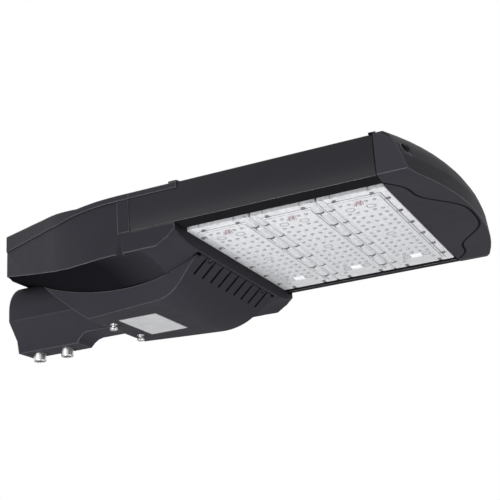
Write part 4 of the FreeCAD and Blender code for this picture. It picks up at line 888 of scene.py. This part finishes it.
def plate_fittings(i, face):
    """Ring bosses and the cover of the plug, on the plate's raised field."""
    x = module_middle(i)
    top = field_face(face)
    rings = []
    for bx, by in BOSSES:
        deselect()
        bpy.ops.mesh.primitive_torus_add(
            major_segments=24, minor_segments=6, major_radius=5.0 * MM, minor_radius=0.6 * MM,
            location=(x + bx * MM, by * MM, top))
        ring = bpy.context.active_object
        settle(ring)
        rings.append(ring)
    group = join(f"ring_bosses_{i}", rings)
    bpy.ops.object.shade_smooth()
    finish_piece(group, "head", "clear_lens", DOME_PAINTED_SHADE)
    px, py = (part * MM for part in PLUG_PLACE)
    low = (x + px - 7 * MM, py - 5 * MM, top - 1.2 * MM)
    hump = block(f"plug_cover_{i}", low, (x + px + 7 * MM, py + 5 * MM, top + MM))
    round_edges(hump, 0.8 * MM, 3)
    finish_piece(hump, "head", "white_plastic", WHITE_PLUG)


def lens_dome_pattern():
    """One oval lens, which hangs from the plate."""
    deselect()
    bpy.ops.mesh.primitive_uv_sphere_add(segments=10, ring_count=6, radius=1, location=(0, 0, 0))
    dome = bpy.context.active_object
    dome.name = "lens_pattern"
    pick(dome, faces=lambda face: True)
    bpy.ops.mesh.bisect(plane_co=(0, 0, 0.01), plane_no=(0, 0, 1), clear_outer=True)
    done()
    dome.scale = (2.3 * MM, 2.6 * MM, 1.6 * MM)
    settle(dome)
    bpy.ops.object.shade_smooth()
    return dome


def lens_domes(i, pattern, face):
    x = module_middle(i)
    top = field_face(face)
    domes = [copy_to(pattern, (px, py, top + 0.1 * MM), "lens") for px, py in lens_places(x)]
    group = join(f"lens_domes_{i}", domes)
    finish_piece(group, "head", "clear_lens", DOME_PAINTED_SHADE)


def rib_pattern(radius):
    """A round-nosed rib under the plate: its nose ends short of the origin, its tail runs to -Y and sinks."""
    deselect()
    bpy.ops.mesh.primitive_uv_sphere_add(segments=12, ring_count=8, radius=1, location=(0, 0, 0))
    rib = bpy.context.active_object
    rib.name = "rib_pattern"
    rib.scale = (radius, radius, 1.7 * MM)
    settle(rib)
    pick(rib, verts=lambda co: co.y < -0.1 * MM)
    tail = -27 * MM
    bpy.ops.transform.translate(value=(0, tail, 0))
    bpy.ops.transform.resize(value=(0.9, 1, 0.45), center_override=(0, tail, 0))
    done()
    rib.location = (0, -1.6 * MM, 0)
    settle(rib)
    bpy.ops.object.shade_smooth()
    return rib


FACING_COLUMNS = ((1, 1, 4.1 * MM), (2, -1, 3.0 * MM), (2, 1, 4.1 * MM), (3, -1, 3.0 * MM))


def facing_ribs(face):
    """Channels with a screw each, on both sides of the joints between the modules."""
    for i, side, radius in FACING_COLUMNS:
        pattern = rib_pattern(radius)
        places = column_rows(module_middle(i), side)
        ribs = [copy_to(pattern, (px, py, face), "rib") for px, py in places]
        bpy.data.objects.remove(pattern)
        group = join(f"screw_ribs_{i}_{'right' if side > 0 else 'left'}", ribs)
        finish_piece(group, "head", "clear_lens", FINISHES["clear_lens"])


def screw_pattern(radius):
    """Pan head with a cross recess, its seat at the origin and its head downwards."""
    head = turned("screw_pattern", (0, 0, 0), (
        (radius * 0.98, 0), (radius, -0.5 * MM), (radius * 0.9, -1.1 * MM), (radius * 0.68, -1.6 * MM),
        (radius * 0.36, -1.8 * MM)), 16)
    arm = radius * 0.55
    for along, aside in ((arm, 0.32 * MM), (0.32 * MM, arm)):
        slot = block("slot", (-along, -aside, -3 * MM), (along, aside, -0.9 * MM))
        carve(head, slot)
    take(head)
    bpy.ops.object.shade_smooth_by_angle(angle=math.radians(35))
    return head


def module_screw_heads(face):
    small = screw_pattern(2.3 * MM)
    heads = []
    for i in (1, 2, 3):
        x = module_middle(i)
        places = end_places(x)
        if i == 1:
            places += column_rows(x, -1)
        if i == 3:
            places += column_rows(x, 1)
        heads += [copy_to(small, (sx, sy, face), "screw") for sx, sy in places]
    bpy.data.objects.remove(small)
    for i, side, radius in FACING_COLUMNS:
        large = screw_pattern(radius * 1.06)
        heads += [copy_to(large, (sx, sy, face), "screw") for sx, sy in column_rows(module_middle(i), side)]
        bpy.data.objects.remove(large)
    group = join("module_screw_heads", heads)
    # The heads are zinc steel, in the darker painted-shade copy of its finish
    finish_piece(group, "head", "zinc_steel", SCREW_STEEL_SHADE, "module_screws")


def lead_stub(name, points, finish):
    """A short insulated lead that shows through the plate."""
    curve = bpy.data.curves.new(name, "CURVE")
    curve.dimensions = "3D"
    curve.bevel_depth = 0.75 * MM
    curve.bevel_resolution = 2
    curve.use_fill_caps = True
    line = curve.splines.new("NURBS")
    line.points.add(len(points) - 1)
    for point, co in zip(line.points, points):
        point.co = (*co, 1)
    line.order_u = 3
    line.use_endpoint_u = True
    thing = bpy.data.objects.new(name, curve)
    bpy.context.collection.objects.link(thing)
    take(thing)
    bpy.ops.object.convert(target="MESH")
    bpy.ops.object.shade_smooth()
    finish_piece(thing, "head", "white_plastic", finish)


def module_leads(i, face):
    x = module_middle(i) + LEAD_PLACE[0] * MM
    y = LEAD_PLACE[1] * MM
    z = field_face(face) - 0.1 * MM
    for k, finish in enumerate((RED_LEAD, DARK_LEAD, RED_LEAD, DARK_LEAD, RED_LEAD)):
        shift = (k - 2) * 2.6 * MM
        points = [
            (x + shift - 2 * MM, y + 8 * MM, z + 0.9 * MM), (x + shift - 1.6 * MM, y + 4 * MM, z),
            (x + shift * 0.9, y - 1 * MM, z - 0.2 * MM), (x + shift * 0.7 + 2.4 * MM, y - 5 * MM, z),
            (x + shift * 0.7 + 3 * MM, y - 9 * MM, z + 0.9 * MM),
        ]
        lead_stub(f"module_lead_{i}_{k + 1}", points, finish)


def add_modules():
    pattern = lens_dome_pattern()
    for i in (1, 2, 3):
        face = lens_cover(i)
        step_shadow_lines(i, face)
        plate_fittings(i, face)
        lens_domes(i, pattern, face)
        module_leads(i, face)
    bpy.data.objects.remove(pattern)
    facing_ribs(face)
    module_screw_heads(face)


# Screws that show underneath


BOLT_HEAD_RADIUS = 8.0 * MM
BOLT_HEAD_HEIGHT = 10.5 * MM
THUMB_HEAD_RADIUS = 4.9 * MM


def clamp_bolt(centre, low, high):
    """Socket cap screw seen from below: head with a rounded rim, hexagon socket, shank."""
    radius = BOLT_HEAD_RADIUS
    face = low + BOLT_HEAD_HEIGHT
    bolt = turned("clamp_bolt", (centre[0], centre[1], 0), (
        (5 * MM, high), (5 * MM, face), (radius, face), (radius, low + 1.0 * MM),
        (radius - 0.4 * MM, low + 0.3 * MM), (radius - 1.0 * MM, low), (radius - 2.0 * MM, low)), 48)
    socket = drum("socket", (centre[0], centre[1], low + 2.5 * MM), 4.62 * MM, 7 * MM, 6)
    carve(bolt, socket)
    take(bolt)
    bpy.ops.object.shade_smooth_by_angle(angle=math.radians(25))
    return bolt


def add_clamp_bolts():
    low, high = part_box("clamp_bolts")
    first = low[0] + BOLT_HEAD_RADIUS
    last = high[0] - BOLT_HEAD_RADIUS
    bolts = join("clamp_bolt_pair", [clamp_bolt((x, 0), low[2], high[2]) for x in (first, last)])
    finish_piece(bolts, "head", "zinc_steel", FINISHES["zinc_steel"], "clamp_bolts")


def add_thumb_screws():
    """Slotted thumb screws: a shank, a collar and a waisted head."""
    low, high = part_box("door_screws")
    x = (low[0] + high[0]) / 2
    bottom = low[2]
    screws = []
    for y in (low[1] + THUMB_HEAD_RADIUS, high[1] - THUMB_HEAD_RADIUS):
        screw = turned("thumb_screw", (x, y, 0), (
            (3.0 * MM, high[2]), (3.0 * MM, bottom + 8.5 * MM), (4.5 * MM, bottom + 8.5 * MM),
            (4.6 * MM, bottom + 8.0 * MM), (4.6 * MM, bottom + 7.0 * MM), (3.4 * MM, bottom + 6.4 * MM),
            (3.3 * MM, bottom + 4.6 * MM), (4.4 * MM, bottom + 3.4 * MM), (4.85 * MM, bottom + 2.8 * MM),
            (4.85 * MM, bottom + 0.7 * MM), (4.2 * MM, bottom), (2.0 * MM, bottom)), 32)
        slot_low = (x - 6 * MM, y - 0.6 * MM, bottom - 1 * MM)
        carve(screw, block("slot", slot_low, (x + 6 * MM, y + 0.6 * MM, bottom + 1.4 * MM)))
        screws.append(screw)
    pair = join("thumb_screw_pair", screws)
    bpy.ops.object.shade_smooth_by_angle(angle=math.radians(30))
    finish_piece(pair, "door", "zinc_steel", FINISHES["zinc_steel"], "door_screws")


# Label foil

LABEL_LOW = (164 * MM, -41 * MM)
LABEL_HIGH = (216 * MM, 41 * MM)
LABEL_RIM = 1.2 * MM


def add_label():
    """A plain foil in a thin border, on the door's flat bottom."""
    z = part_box("gear_door")[0][2]
    border = block("label_border", (*LABEL_LOW, z - 0.25 * MM), (*LABEL_HIGH, z + 0.1 * MM))
    low = (LABEL_LOW[0] + LABEL_RIM, LABEL_LOW[1] + LABEL_RIM, z - 0.35 * MM)
    high = (LABEL_HIGH[0] - LABEL_RIM, LABEL_HIGH[1] - LABEL_RIM, z)
    foil = block("label_foil", low, high)
    for sheet, finish in ((border, LABEL_BORDER), (foil, LABEL_FOIL)):
        round_corners(sheet, 1.5 * MM)
        finish_piece(sheet, "door", "white_plastic", finish)


add_camera()
bpy.context.scene.view_settings.view_transform = "Standard"
add_surroundings()
add_floor()
add_lamps()
coat_cad_nodes()
dress_castings()
add_modules()
add_clamp_bolts()
add_thumb_screws()
add_label()
